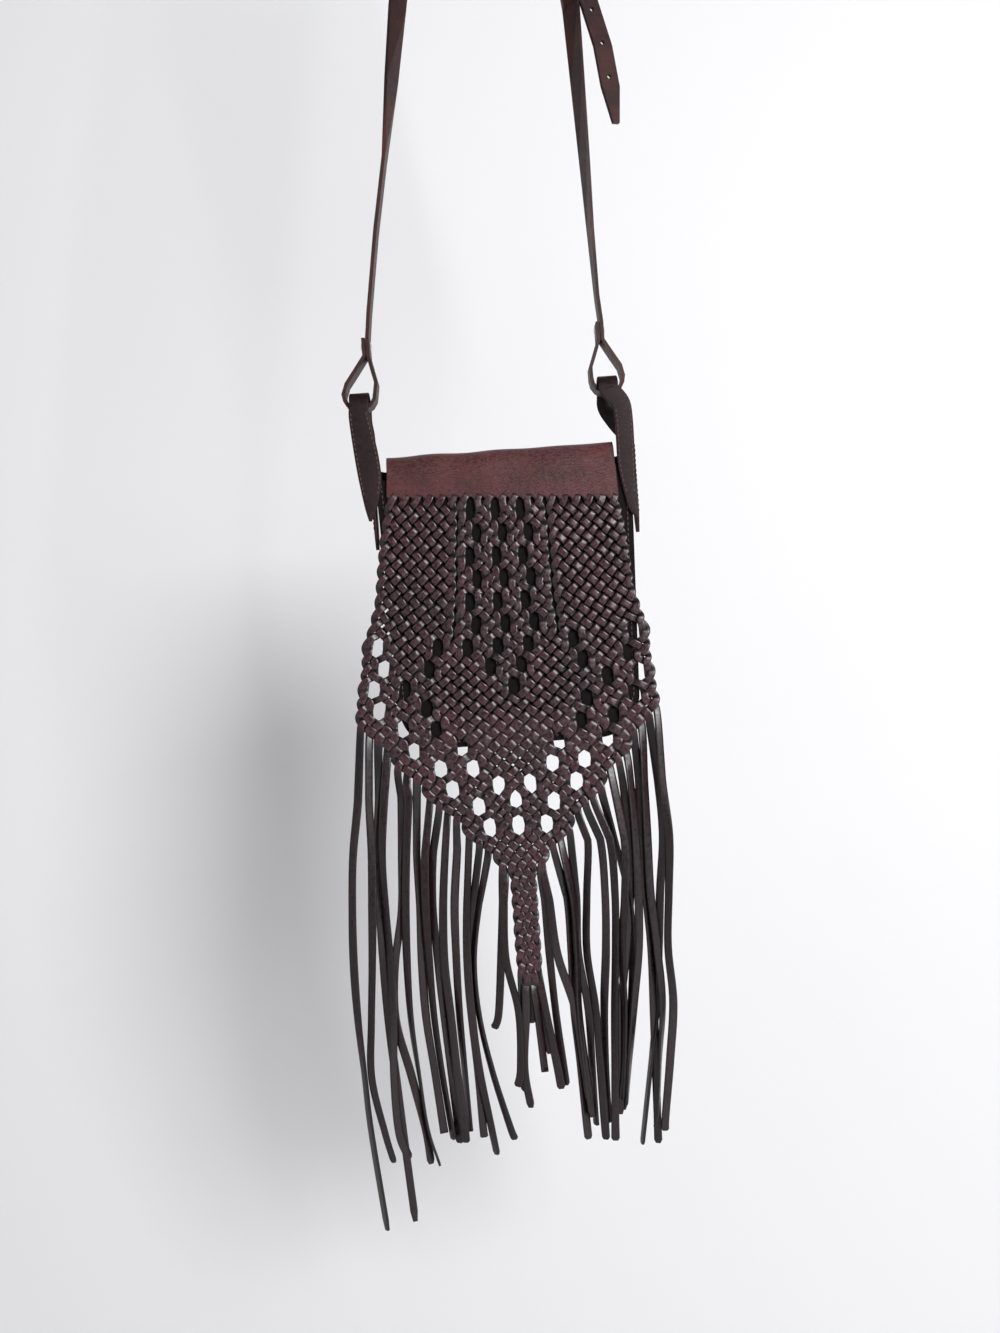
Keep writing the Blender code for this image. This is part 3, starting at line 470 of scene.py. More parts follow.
@dataclass
class Batch:
    """Gathers numpy surfaces into one mesh, with marks stored at its points."""

    points: list[Array] = field(default_factory=list)
    faces: list[list[int]] = field(default_factory=list)
    lay: list[Array] = field(default_factory=list)
    crown: list[Array] = field(default_factory=list)
    rim: list[Array] = field(default_factory=list)
    count: int = 0

    def add(self, points: Array, faces: list[list[int]], lay: Array, crown: Array, rim: Array) -> None:
        """Add a finished shape.

        Args:
            points: N by 3 points.
            faces: Faces by the points' places in this shape.
            lay: N by 3 metres along and across, and an own number of the shape.
            crown: How raised each point is, 0 to 1, which sets wear with painted highlight and, on laces,
                painted shade.
            rim: How much each point is a cut edge, 0 to 1.
        """
        start = self.count
        self.points.append(points)
        self.faces += [[start + i for i in face] for face in faces]
        self.lay.append(lay)
        self.crown.append(np.broadcast_to(crown, len(points)))
        self.rim.append(np.broadcast_to(rim, len(points)))
        self.count += len(points)

    def tube(self, rings: Array, across: Array, crown: Array | float = 0.0, rim: Array | float = 0.0,
             own: float = 0.0) -> None:
        """Add a run of rings: neighbouring rings are joined by quads, and both ends are capped.

        Args:
            rings: Rings by corners by 3.
            across: Metres across at each corner of a ring.
            crown: Raise, rings by corners or one number; it sets wear with painted highlight and painted
                shade.
            rim: Cut edge, rings by corners or one number.
            own: A number that tells this run from others.
        """
        count, sides = rings.shape[:2]
        i = np.arange(count - 1)[:, None] * sides
        k = np.arange(sides)[None, :]
        n = (k + 1) % sides
        quads = np.stack([i + k, i + n, i + sides + n, i + sides + k], axis=-1)
        faces = quads.reshape(-1, 4).tolist()
        faces.append(list(range(sides - 1, -1, -1)))
        faces.append(list(range((count - 1) * sides, count * sides)))
        run = np.broadcast_to(along(rings.mean(axis=1))[:, None], (count, sides))
        lay = np.stack([run, np.broadcast_to(across, (count, sides)), np.full((count, sides), own)], axis=-1)
        full = (np.broadcast_to(m, (count, sides)).reshape(-1) for m in (crown, rim))
        self.add(rings.reshape(-1, 3), faces, lay.reshape(-1, 3), *full)

    def slab(self, front: Array, back: Array, crown: Array | float = 0.0) -> None:
        """Add a sheet given by its two faces, both rows by columns by 3, and close its four edges.

        Args:
            front: Points of the front face.
            back: Points of the back face.
            crown: Raise of the front face, which sets wear with painted highlight.
        """
        rows, cols = front.shape[:2]
        size = rows * cols
        i, k = np.arange(rows - 1)[:, None], np.arange(cols - 1)[None, :]
        a = i * cols + k
        quads = np.stack([a, a + 1, a + cols + 1, a + cols], axis=-1).reshape(-1, 4)
        edge = np.concatenate([np.arange(cols), np.arange(1, rows) * cols + cols - 1,
                               (rows - 1) * cols + np.arange(cols - 2, -1, -1),
                               np.arange(rows - 2, 0, -1) * cols])
        after = np.roll(edge, -1)
        walls = np.stack([edge, after, after + size, edge + size], axis=-1)
        faces = quads.tolist() + (quads[:, ::-1] + size).tolist() + walls[:, ::-1].tolist()
        down = np.concatenate([[0.0], np.cumsum(np.linalg.norm(np.diff(front, axis=0), axis=2).mean(axis=1))])
        side = np.concatenate([[0.0], np.cumsum(np.linalg.norm(np.diff(front, axis=1), axis=2).mean(axis=0))])
        lay = np.stack(np.broadcast_arrays(down[:, None], side[None, :], 0.0), axis=-1).reshape(-1, 3)
        rim = np.zeros((rows, cols))
        rim[0] = rim[-1] = 1.0
        rim[:, 0] = rim[:, -1] = 1.0
        rubbed = np.broadcast_to(crown, (rows, cols)).reshape(-1)
        self.add(np.vstack([front.reshape(-1, 3), back.reshape(-1, 3)]), faces, np.vstack([lay, lay]),
                 np.concatenate([rubbed, 0 * rubbed]), np.concatenate([rim.reshape(-1)] * 2))

    def stitches(self, centres: Array, runs: Array, outs: Array, length: float, radius: float) -> None:
        """Add one small rounded bead for each stitch: six-sided, four rings and two poles.

        Args:
            centres: Middles of the stitches.
            runs: Their directions.
            outs: Directions away from the leather.
            length: Length of a stitch.
            radius: Half its thickness.
        """
        runs, outs = unit(runs), unit(outs)
        sides = np.cross(runs, outs)
        angle = np.linspace(0, 2 * math.pi, 6, endpoint=False)
        steps = np.array([-0.42, -0.15, 0.15, 0.42])
        swell = np.array([0.75, 1.0, 1.0, 0.75])
        for centre, run, out, side in zip(centres, runs, outs, sides):
            ring = (np.cos(angle)[:, None] * out + np.sin(angle)[:, None] * side) * radius
            rings = centre + steps[:, None, None] * length * run + swell[:, None, None] * ring[None]
            self.tube(rings, 0.0)

    def make(self, name: str, material: bpy.types.Material) -> bpy.types.Object:
        """Build the mesh object.

        Args:
            name: The piece's name.
            material: Its finish.

        Returns:
            The new object, at the origin.
        """
        mesh = bpy.data.meshes.new(name)
        mesh.from_pydata(np.vstack(self.points), [], self.faces)
        shape = bmesh.new()
        shape.from_mesh(mesh)
        bmesh.ops.recalc_face_normals(shape, faces=shape.faces)
        shape.to_mesh(mesh)
        shape.free()
        for key, kind, data in (("lay", "FLOAT_VECTOR", self.lay), ("crown", "FLOAT", self.crown),
                                ("rim", "FLOAT", self.rim)):
            stored = mesh.attributes.new(key, kind, "POINT")
            flat = np.concatenate([np.asarray(d, np.float32).reshape(-1) for d in data])
            stored.data.foreach_set("vector" if kind == "FLOAT_VECTOR" else "value", flat)
        mesh.polygons.foreach_set("use_smooth", np.full(len(mesh.polygons), True))
        mesh.set_sharp_from_angle(angle=SHARP_FROM)
        mesh.materials.append(material)
        made = bpy.data.objects.new(name, mesh)
        bpy.context.scene.collection.objects.link(made)
        return made


LACE_PROFILE = np.array([(-1.0, 0.80), (-0.96, 0.97), (-0.5, 1.0), (0.0, 1.03), (0.5, 1.0), (0.96, 0.97),
                         (1.0, 0.80), (1.0, -0.60), (0.93, -1.0), (-0.93, -1.0), (-1.0, -0.60)])
TAB_PROFILE = np.array([(-1.0, 0.55), (-0.96, 0.95), (-0.88, 1.0), (0.88, 1.0), (0.96, 0.95), (1.0, 0.55),
                        (1.0, -0.6), (0.95, -1.0), (-0.95, -1.0), (-1.0, -0.6)])


def sweep(batch: Batch, route: Array, across: Array, width: Array | float, thick: Array | float,
          profile: Array, crown: Array | float = 0.0, own: float = 0.0) -> None:
    """Carry a profile along a route: each ring is the profile, wide along `across`, its top at run x across.

    Args:
        batch: Where the run is added.
        route: N by 3 points.
        across: N by 3 directions of the strip's width.
        width: Full width, one number or one for each point.
        thick: Full thickness.
        profile: Corners as shares of half the width and half the thickness.
        crown: Raise of the profile's top, one number or one for each point; it sets wear, painted highlight
            and painted shade.
        own: A number that tells this run from others.
    """
    step = np.roll(route, -1, axis=0) - np.roll(route, 1, axis=0)
    step[0], step[-1] = route[1] - route[0], route[-1] - route[-2]
    step = unit(step)
    across = unit(across - step * np.sum(across * step, axis=1, keepdims=True))
    out = np.cross(step, across)
    half_w = (np.zeros(len(route)) + width)[:, None, None] / 2
    half_t = (np.zeros(len(route)) + thick)[:, None, None] / 2
    rings = (route[:, None] + across[:, None] * half_w * profile[None, :, :1]
             + out[:, None] * half_t * profile[None, :, 1:])
    top = np.clip(profile[:, 1], 0, 1)[None] * (np.zeros(len(route)) + crown)[:, None]
    edge = np.where(np.abs(profile[:, 0]) > 0.97, 0.8, 0.0)[None] + np.zeros((len(route), 1))
    batch.tube(rings, profile[:, 0] * np.mean(width) / 2, top, edge, own)


def flap_y(depth: Array) -> Array:
    """Front-to-back place of the flap's sheet at a depth."""
    return table(((-0.0060, 0.000), (0.000, -0.0060), (0.006, -0.0090), (0.014, -0.0098),
                  (0.30, -0.0102), (0.56, -0.0080)), depth)


@dataclass
class Lattice:
    """The crossings of the flap's 38 laces: site s is where laces at places s and s+1 cross."""

    lanes: int = 38
    slits: tuple[int, int] = (11, 25)
    top_row: int = -19
    last_row: int = 34
    pendant_row: int = 49
    pendant_sites: tuple[int, int] = (16, 20)
    band_left: float = 0.022
    band_right: float = 0.033
    merge: float = 0.126
    sag: float = 0.005
    pitch: float = 0.00495
    pendant_pitch: float = 0.0053
    swell: tuple[tuple[float, float], ...] = ((0.15, 1.8 * MM), (0.20, 2.5 * MM))
    reach: float = 0.0085
    push: float = 1.6
    exit_first: float = 12.1
    exit_per_lane: float = 1.58
    lane_pitch: tuple[tuple[float, float], ...] = (
        (0.000, 4.25 * MM), (0.022, 4.35 * MM), (0.060, 4.72 * MM), (0.100, 4.95 * MM),
        (0.130, 5.42 * MM), (0.160, 5.60 * MM), (0.186, 5.85 * MM), (0.219, 5.80 * MM),
        (0.253, 5.40 * MM), (0.270, 5.05 * MM), (0.284, 4.35 * MM), (0.297, 3.30 * MM),
        (0.305, 2.90 * MM), (0.390, 2.80 * MM))
    centre: tuple[tuple[float, float], ...] = (
        (0.0, 1.3 * MM), (0.11, -2.5 * MM), (0.175, -6.0 * MM), (0.30, -3.0 * MM))

    def __post_init__(self) -> None:
        """Work out the openings and where they lie."""
        self.holes = self.hole_sites()
        sites = np.array(sorted(self.holes), float)
        self.hole_key = sites
        self.hole_at = np.stack(self.plan(sites[:, 0], sites[:, 1]), axis=-1)

    def hole_sites(self) -> set[tuple[int, int]]:
        """The crossings that are left out, in groups three rows apart."""
        sites = set()
        for row in range(-17, 2, 6):
            sites |= {(s, row) for s in (13, 17, 21)}
            if row < 0:
                sites |= {(s, row + 3) for s in (14, 18, 22)}
        outer = {0: 1, 1: 2, 2: 1, 3: 2, 4: 5, 5: 6, 6: 9, 7: 10, 8: 13, 9: 14}
        inner = {0: 9, 1: 8, 2: 5, 3: 8, 4: 9, 5: 12, 6: 13, 7: 16}
        for chain in (outer, inner):
            for group, site in chain.items():
                sites |= {(site, 1 + 3 * group), (self.lanes - 2 - site, 1 + 3 * group)}
        return sites | {(16, 4), (20, 4), (19, 7), (18, 24), (18, 28)}

    def woven(self, site: int, row: int) -> bool:
        """Whether laces cross at a site on a row."""
        if site < 0 or site > self.lanes - 2 or (site in self.slits and row < 0):
            return False
        if (site, row) in self.holes:
            return False
        if self.pendant_sites[0] <= site <= self.pendant_sites[1]:
            return row <= self.pendant_row
        leaves = self.exit_first + self.exit_per_lane * min(site, self.lanes - 2 - site)
        return row <= min(leaves, self.last_row)

    def plan(self, site: Array, row: Array) -> tuple[Array, Array]:
        """Sideways place and depth of a lattice point before the openings push on it.

        Args:
            site: Site numbers, also between two sites.
            row: Row numbers, also between two rows.

        Returns:
            x and depth in metres.
        """
        u = (site - 18.0) / 19.0
        top = self.band_left + (self.band_right - self.band_left) * (u + 1) / 2
        merge = self.merge + self.sag * (1 - u * u)
        upper = top + (merge - top) * (row - self.top_row) / (0 - self.top_row)
        lower = merge + self.pitch * np.minimum(row, self.last_row) * (1 - 0.03 * (1 - u * u))
        depth = np.where(row <= 0, upper, lower) + np.maximum(0, row - self.last_row) * self.pendant_pitch
        return table(self.centre, depth) + (site - 18.0) * table(self.lane_pitch, depth), depth

    def spot(self, site: Array, row: Array) -> tuple[Array, Array]:
        """The lattice point, pushed away from openings near it by a bell of their distance.

        Args:
            site: Site numbers.
            row: Row numbers.

        Returns:
            x and depth in metres.
        """
        site, row = np.broadcast_arrays(np.asarray(site, float), np.asarray(row, float))
        x, depth = self.plan(site, row)
        away = np.stack([x, depth], axis=-1)[..., None, :] - self.hole_at
        far = np.linalg.norm(away, axis=-1)
        swell = self.push * table(self.swell, depth)[..., None]
        near = ((np.abs(site[..., None] - self.hole_key[:, 0]) <= 3)
                & (np.abs(row[..., None] - self.hole_key[:, 1]) <= 3) & (far > 1e-6))
        push = np.where(near, swell * np.exp(-(far / self.reach) ** 2) / np.maximum(far, 1e-6), 0)
        moved = (away * push[..., None]).sum(axis=-2)
        return x + moved[..., 0], depth + moved[..., 1]

    def trace(self) -> tuple[list[Array], Array]:
        """Follow every lace down the weave: two laces swap places where they cross, and turn back where not.

        Returns:
            For each lace its nodes (site, row, lift), where lift is 1 over, -1 under and 0 beside,
            and the place where each lace leaves the weave.
        """
        last = {p: max(r for r in range(self.top_row + 1, self.pendant_row + 1)
                       for s in (p - 1, p) if (s + r) % 2 == 0 and self.woven(s, r))
                for p in range(self.lanes)}
        places = list(range(self.lanes))
        nodes: list[list[tuple[float, float, float]]] = [[(p - 0.5, self.top_row, 0.0)] for p in places]
        done = [False] * self.lanes
        for row in range(self.top_row + 1, self.pendant_row + 1):
            for lace in range(self.lanes):
                at = places[lace]
                if done[lace]:
                    continue
                site = at if (at + row) % 2 == 0 else at - 1
                side = -1 if site == at else 1
                if self.woven(site, row):
                    over = (side > 0) == (row % 2 == 0)
                    nodes[lace].append((site, row, 1.0 if over else -1.0))
                    places[lace] = at - side
                else:
                    hole = (site, row) in self.holes
                    nodes[lace].append((site + side * (0.80 if hole else 0.53), row, 0.0))
                done[lace] = row >= last[places[lace]]
        return [np.array(n) for n in nodes], np.array(places)


# Where each strip of the fringe hangs: x in mm at each of HANG_DEPTHS, then its end's x and depth.
# The order is that of the places at which the strips leave the weave, from left to right.
HANG_DEPTHS = np.array([240, 280, 320, 360, 400, 440, 480]) * MM
FRINGE: tuple[tuple[float, ...], ...] = (
    (-121.6, -126.0, -128.4, -129.7, -129.3, -127.4, -125.4, -118.7, 551.8),
    (-112.7, -111.9, -113.5, -116.1, -119.4, -121.9, -115.2, -110.2, 501.9),
    (-106.1, -108.9, -108.4, -108.4, -107.4, -104.9, -102.4, -98.1, 546.7),
    (-103.8, -105.3, -104.2, -103.0, -103.6, -105.9, -105.0, -99.0, 500.0),
    (-87.7, -89.4, -92.1, -99.6, -101.9, -93.8, -86.2, -83.7, 505.9),
    (-83.9, -86.7, -89.5, -90.9, -90.9, -87.8, -83.7, -77.3, 506.3),
    (-74.6, -78.8, -79.1, -80.3, -80.0, -76.5, -73.1, -72.8, 483.5),
    (-73.2, -75.6, -76.0, -75.3, -74.2, -71.2, -67.2, -66.3, 488.3),
    (-61.0, -67.7, -70.0, -68.8, -66.8, -64.7, -62.5, -61.8, 492.2),
    (-58.9, -61.2, -63.5, -64.5, -62.0, -60.3, -57.8, -57.2, 491.1),
    (-46.8, -49.8, -54.1, -55.4, -55.8, -54.9, -54.1, -54.0, 483.4),
    (-43.7, -44.1, -46.6, -48.0, -47.3, -44.2, -38.7, -35.8, 501.3),
    (-34.6, -35.6, -41.6, -47.6, -47.2, -45.4, -44.6, -44.1, 489.4),
    (-30.6, -32.6, -38.6, -43.6, -42.2, -35.4, -25.6, -22.1, 491.4),
    (-20.6, -20.6, -21.0, -23.8, -27.8, -31.0, -31.7, -31.7, 411.4),
    (-16.7, -17.7, -18.8, -19.9, -13.2, -14.2, -17.0, -17.3, 453.5),
    (-8.0, -8.0, -8.0, -8.0, -10.1, -12.8, -12.5, -12.0, 458.0),
    (-6.0, -6.0, -6.0, -6.0, -8.1, -11.8, -10.0, -9.0, 469.2),
    (0.6, 0.6, 0.6, 0.6, -0.5, -1.2, -1.2, -1.2, 409.2),
    (3.0, 3.0, 3.0, 3.0, 2.0, 3.4, 3.6, 3.6, 442.0),
    (6.3, 6.3, 6.3, 6.3, 7.3, 9.4, 9.5, 9.5, 432.3),
    (7.8, 7.8, 7.8, 7.8, 9.3, 13.3, 14.9, 14.9, 457.2),
    (3.0, 3.0, 7.8, 10.4, 12.8, 15.9, 17.0, 17.2, 455.9),
    (12.2, 12.2, 16.2, 18.3, 27.9, 31.4, 33.0, 33.7, 467.2),
    (25.5, 28.7, 31.7, 29.7, 27.5, 29.0, 30.4, 31.0, 495.9),
    (27.5, 31.7, 34.2, 33.2, 31.0, 32.5, 34.0, 35.0, 479.0),
    (41.2, 45.8, 38.9, 34.7, 38.1, 37.8, 37.5, 37.5, 486.2),
    (41.2, 48.4, 43.1, 39.6, 42.7, 43.1, 43.4, 43.5, 495.9),
    (55.1, 61.0, 58.1, 54.3, 49.6, 47.4, 46.2, 45.8, 483.0),
    (56.5, 64.5, 63.6, 60.3, 56.6, 53.9, 51.2, 50.2, 497.1),
    (67.6, 69.5, 74.0, 73.5, 69.2, 63.1, 60.0, 57.7, 476.1),
    (69.6, 73.5, 70.0, 64.5, 63.2, 60.1, 57.0, 56.7, 468.0),
    (80.7, 77.9, 74.6, 68.8, 61.5, 58.4, 57.0, 55.2, 479.5),
    (82.7, 81.4, 79.6, 76.8, 70.5, 64.4, 61.0, 60.2, 471.5),
    (87.6, 83.9, 84.7, 85.6, 84.7, 83.3, 81.9, 81.1, 502.2),
    (89.6, 88.4, 87.7, 89.6, 90.7, 86.3, 81.9, 79.1, 489.0),
    (101.5, 100.8, 95.5, 91.4, 87.3, 80.4, 73.4, 69.5, 502.2),
    (102.5, 104.1, 101.0, 97.6, 98.5, 93.6, 87.6, 86.1, 492.5),
)


@dataclass
class BraidedFlap:
    """The flap: a plain band over the pouch's mouth, and its laces, braided and hanging."""

    lattice: Lattice = field(default_factory=Lattice)
    fill: tuple[tuple[float, float], ...] = (
        (0.18, 0.70), (0.198, 0.97), (0.210, 0.95), (0.222, 0.78), (0.27, 0.76), (0.30, 1.0))
    lace_fringe: float = 0.0058
    thick: float = 0.00175
    lift: float = 0.00098
    per_row: int = 6
    leather: float = 0.0020
    back_reach: float = 0.014
    start_width: float = 0.0043
    plateau: float = 3.0
    roll: float = 0.07
    ease: float = 0.05
    fringe_shade: float = 0.42

    def lace_route(self, nodes: Array, leaves_at: int, seed: int) -> tuple[Array, Array, Array, Array]:
        """The line of one lace through the weave and down the fringe.

        Args:
            nodes: Its (site, row, lift) nodes.
            leaves_at: Its place where it leaves the weave, which picks its strip of the fringe.
            seed: Chooses its twist and sway.

        Returns:
            Points, directions of its width, its widths, and how far it stands proud (-1 to 1), down the
            fringe a fixed value: these set its painted highlight and painted shade.
        """
        rng = np.random.default_rng(100 + seed)
        x, depth = self.lattice.spot(nodes[:, 0], nodes[:, 1])
        woven = np.stack([x, depth, nodes[:, 2]], axis=-1)
        hang = np.array(FRINGE[leaves_at]) * MM
        leave = x[-1] - np.interp(depth[-1], HANG_DEPTHS, hang[:7])
        depths = np.append(HANG_DEPTHS, hang[-1])
        keep = (depths > depth[-1] + 0.016) & (depths <= hang[-1])
        xs = hang[:8] + leave * np.exp(-(depths - depth[-1]) / self.ease)
        first = np.array([[x[-1] + 0.35 * (x[-1] - x[-2]), depth[-1] + 0.008, 0.0]])
        layer = 0.9 if leaves_at % 2 else -0.9
        hung = np.stack([xs[keep], depths[keep], layer + rng.uniform(-0.4, 0.4, keep.sum())], axis=-1)
        line = flow(np.vstack([woven, first, hung[:1]]), self.per_row)
        tail = flow(np.vstack([first, hung]), 9)[9:]
        split = len(line) - 1
        route = np.vstack([line[:split], tail])
        count = len(route)
        proud = np.tanh(self.plateau * np.clip(route[:, 2], -1.2, 1.2)) / math.tanh(self.plateau)
        down = np.clip((np.arange(count) - (len(nodes) - 1) * self.per_row) / (2.0 * self.per_row), 0, 1)
        y = flap_y(route[:, 1]) - proud * self.lift * (1 + 0.5 * down)
        points = place(route[:, 0], y, route[:, 1])
        run = np.clip((route[:, 1] - depth[-1]) / 0.25, 0, 1)
        hang_turn = (rng.uniform(-0.5, 0.5) + rng.uniform(-0.9, 0.9) * run
                     + 0.45 * np.sin(run * rng.uniform(3, 8) + rng.uniform(0, 6)))
        knots = np.arange(len(nodes)) * self.per_row
        turn = down * hang_turn + (1 - down) * np.interp(np.arange(count), knots,
                                                         rng.normal(0, self.roll, len(nodes)))
        step = unit(np.gradient(points, axis=0))
        flat = unit(np.cross(step, np.array([0.0, 1.0, 0.0])))
        front = np.array([0.0, -1.0, 0.0])
        across = flat * np.cos(turn)[:, None] + front * np.sin(turn)[:, None]
        rows = np.gradient(depth) / np.gradient(nodes[:, 1])
        lanes = table(self.lattice.lane_pitch, depth)
        at_knots = table(self.fill, depth) * 2 * lanes * rows / np.hypot(lanes, rows)
        full = np.interp(np.arange(count), knots, at_knots)
        grow = np.clip(np.arange(count) / (1.5 * self.per_row), 0, 1)
        width = (self.start_width + (full - self.start_width) * grow) * (1 - down) + self.lace_fringe * down
        width = width * (1 + 0.05 * np.sin(np.arange(count) * 0.21 + seed))
        width[-1] *= 0.6
        return points, across, width, proud * (1 - down) + self.fringe_shade * down

    def laces(self, wardrobe: Wardrobe) -> list[bpy.types.Object]:
        """Sweep every lace, in four pieces from left to right.

        Args:
            wardrobe: The finishes.

        Returns:
            The pieces.
        """
        nodes, places = self.lattice.trace()
        made = []
        for group in range(4):
            batch = Batch()
            for lace in range(group, self.lattice.lanes, 4):
                points, across, width, proud = self.lace_route(nodes[lace], int(places[lace]), lace)
                # Crown values, high where the lace passes over and low where it dips under, set its painted
                # highlight and painted shade.
                sweep(batch, points, across, width, self.thick, LACE_PROFILE,
                      np.clip(0.35 + 0.65 * proud, 0, 1), own=lace * 3.7)
            piece = batch.make(f"laces_{group + 1}", wardrobe.get(Wardrobe.LACE))
            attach(piece, Body.FLAP.value)
            made.append(piece)
        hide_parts("woven_flap")
        return made

    def band(self, wardrobe: Wardrobe) -> bpy.types.Object:
        """The plain band: a sheet from the first row of laces, over the top and down the pouch's back.

        Its section is a table of (depth, y) carried across; its lower edge follows the laces' first row.

        Args:
            wardrobe: The finishes.

        Returns:
            The piece.
        """
        cols, rows = 229, 46
        site = np.linspace(-1, self.lattice.lanes - 1, cols)
        x_low, d_low = self.lattice.plan(site, np.full(cols, float(self.lattice.top_row)))
        section = flow(np.array([(0.0105, -0.0096), (0.004, -0.0084), (-0.0012, -0.0060), (-0.0048, -0.0024),
                                 (-0.0058, 0.0014), (-0.0048, 0.0050), (-0.0022, 0.0080), (0.0020, 0.0097),
                                 (0.0070, 0.0102), (self.back_reach, 0.0106)]), 6)
        tooth = np.abs(np.mod((site + 1) / 2, 1.0) - 0.5) * 2
        d_low = d_low + 0.0012 + 0.0036 * (1 - tooth)
        lower = 14
        t = np.linspace(0, 1, lower, endpoint=False)[:, None]
        depth_a = d_low[None] * (1 - t) + 0.0105 * t
        y_a = flap_y(depth_a)
        picks = np.linspace(0, len(section) - 1, rows - lower)
        sec = np.stack([np.interp(picks, np.arange(len(section)), section[:, k]) for k in (0, 1)], axis=-1)
        depth = np.vstack([depth_a, np.broadcast_to(sec[:, :1], (rows - lower, cols))])
        y = np.vstack([y_a, np.broadcast_to(sec[:, 1:], (rows - lower, cols))])
        narrow = np.concatenate([1 - 0.012 * t[:, 0], np.full(rows - lower, 0.986)])
        x = x_low[None] * narrow[:, None]
        share = np.linspace(-1, 1, cols)[None]
        slack = np.clip((0.024 - depth) / 0.02, 0, 1)
        near_crease = np.exp(-((depth - 0.0185) / 0.009) ** 2)
        creased = near_crease * np.clip((share - 0.05) * 2.2, 0, 1) * (y < -0.004)
        lines = np.sin(2 * math.pi * (depth / 0.0034 + 0.9 * share ** 2 + 0.25 * waves(x, depth, 5, 0.03)))
        rise = 0.00045 * waves(x, depth, 3, 0.035) * slack + 0.00028 * lines * creased
        centre = place(x, y, depth)
        du, dv = np.gradient(centre, axis=1), np.gradient(centre, axis=0)
        out = unit(np.cross(du, dv))
        out *= np.sign(-out[5:6, :, 1:2])
        fade = np.clip(np.arange(rows) / 4, 0, 1)[:, None, None]
        centre = centre + out * (rise[..., None] * fade)
        batch = Batch()
        # Crown values peak along the band's top fold: the wear colour there is partly a painted highlight.
        crown = np.clip(0.5 + 0.5 * np.sin(np.clip(sec[:, 0].min() - depth, -0.02, 0) * 90 + 1.2), 0, 1)
        batch.slab(centre + out * self.leather / 2, centre - out * self.leather / 2, crown)
        piece = batch.make("flap_band", wardrobe.get(Wardrobe.BAND))
        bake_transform(piece)
        return piece


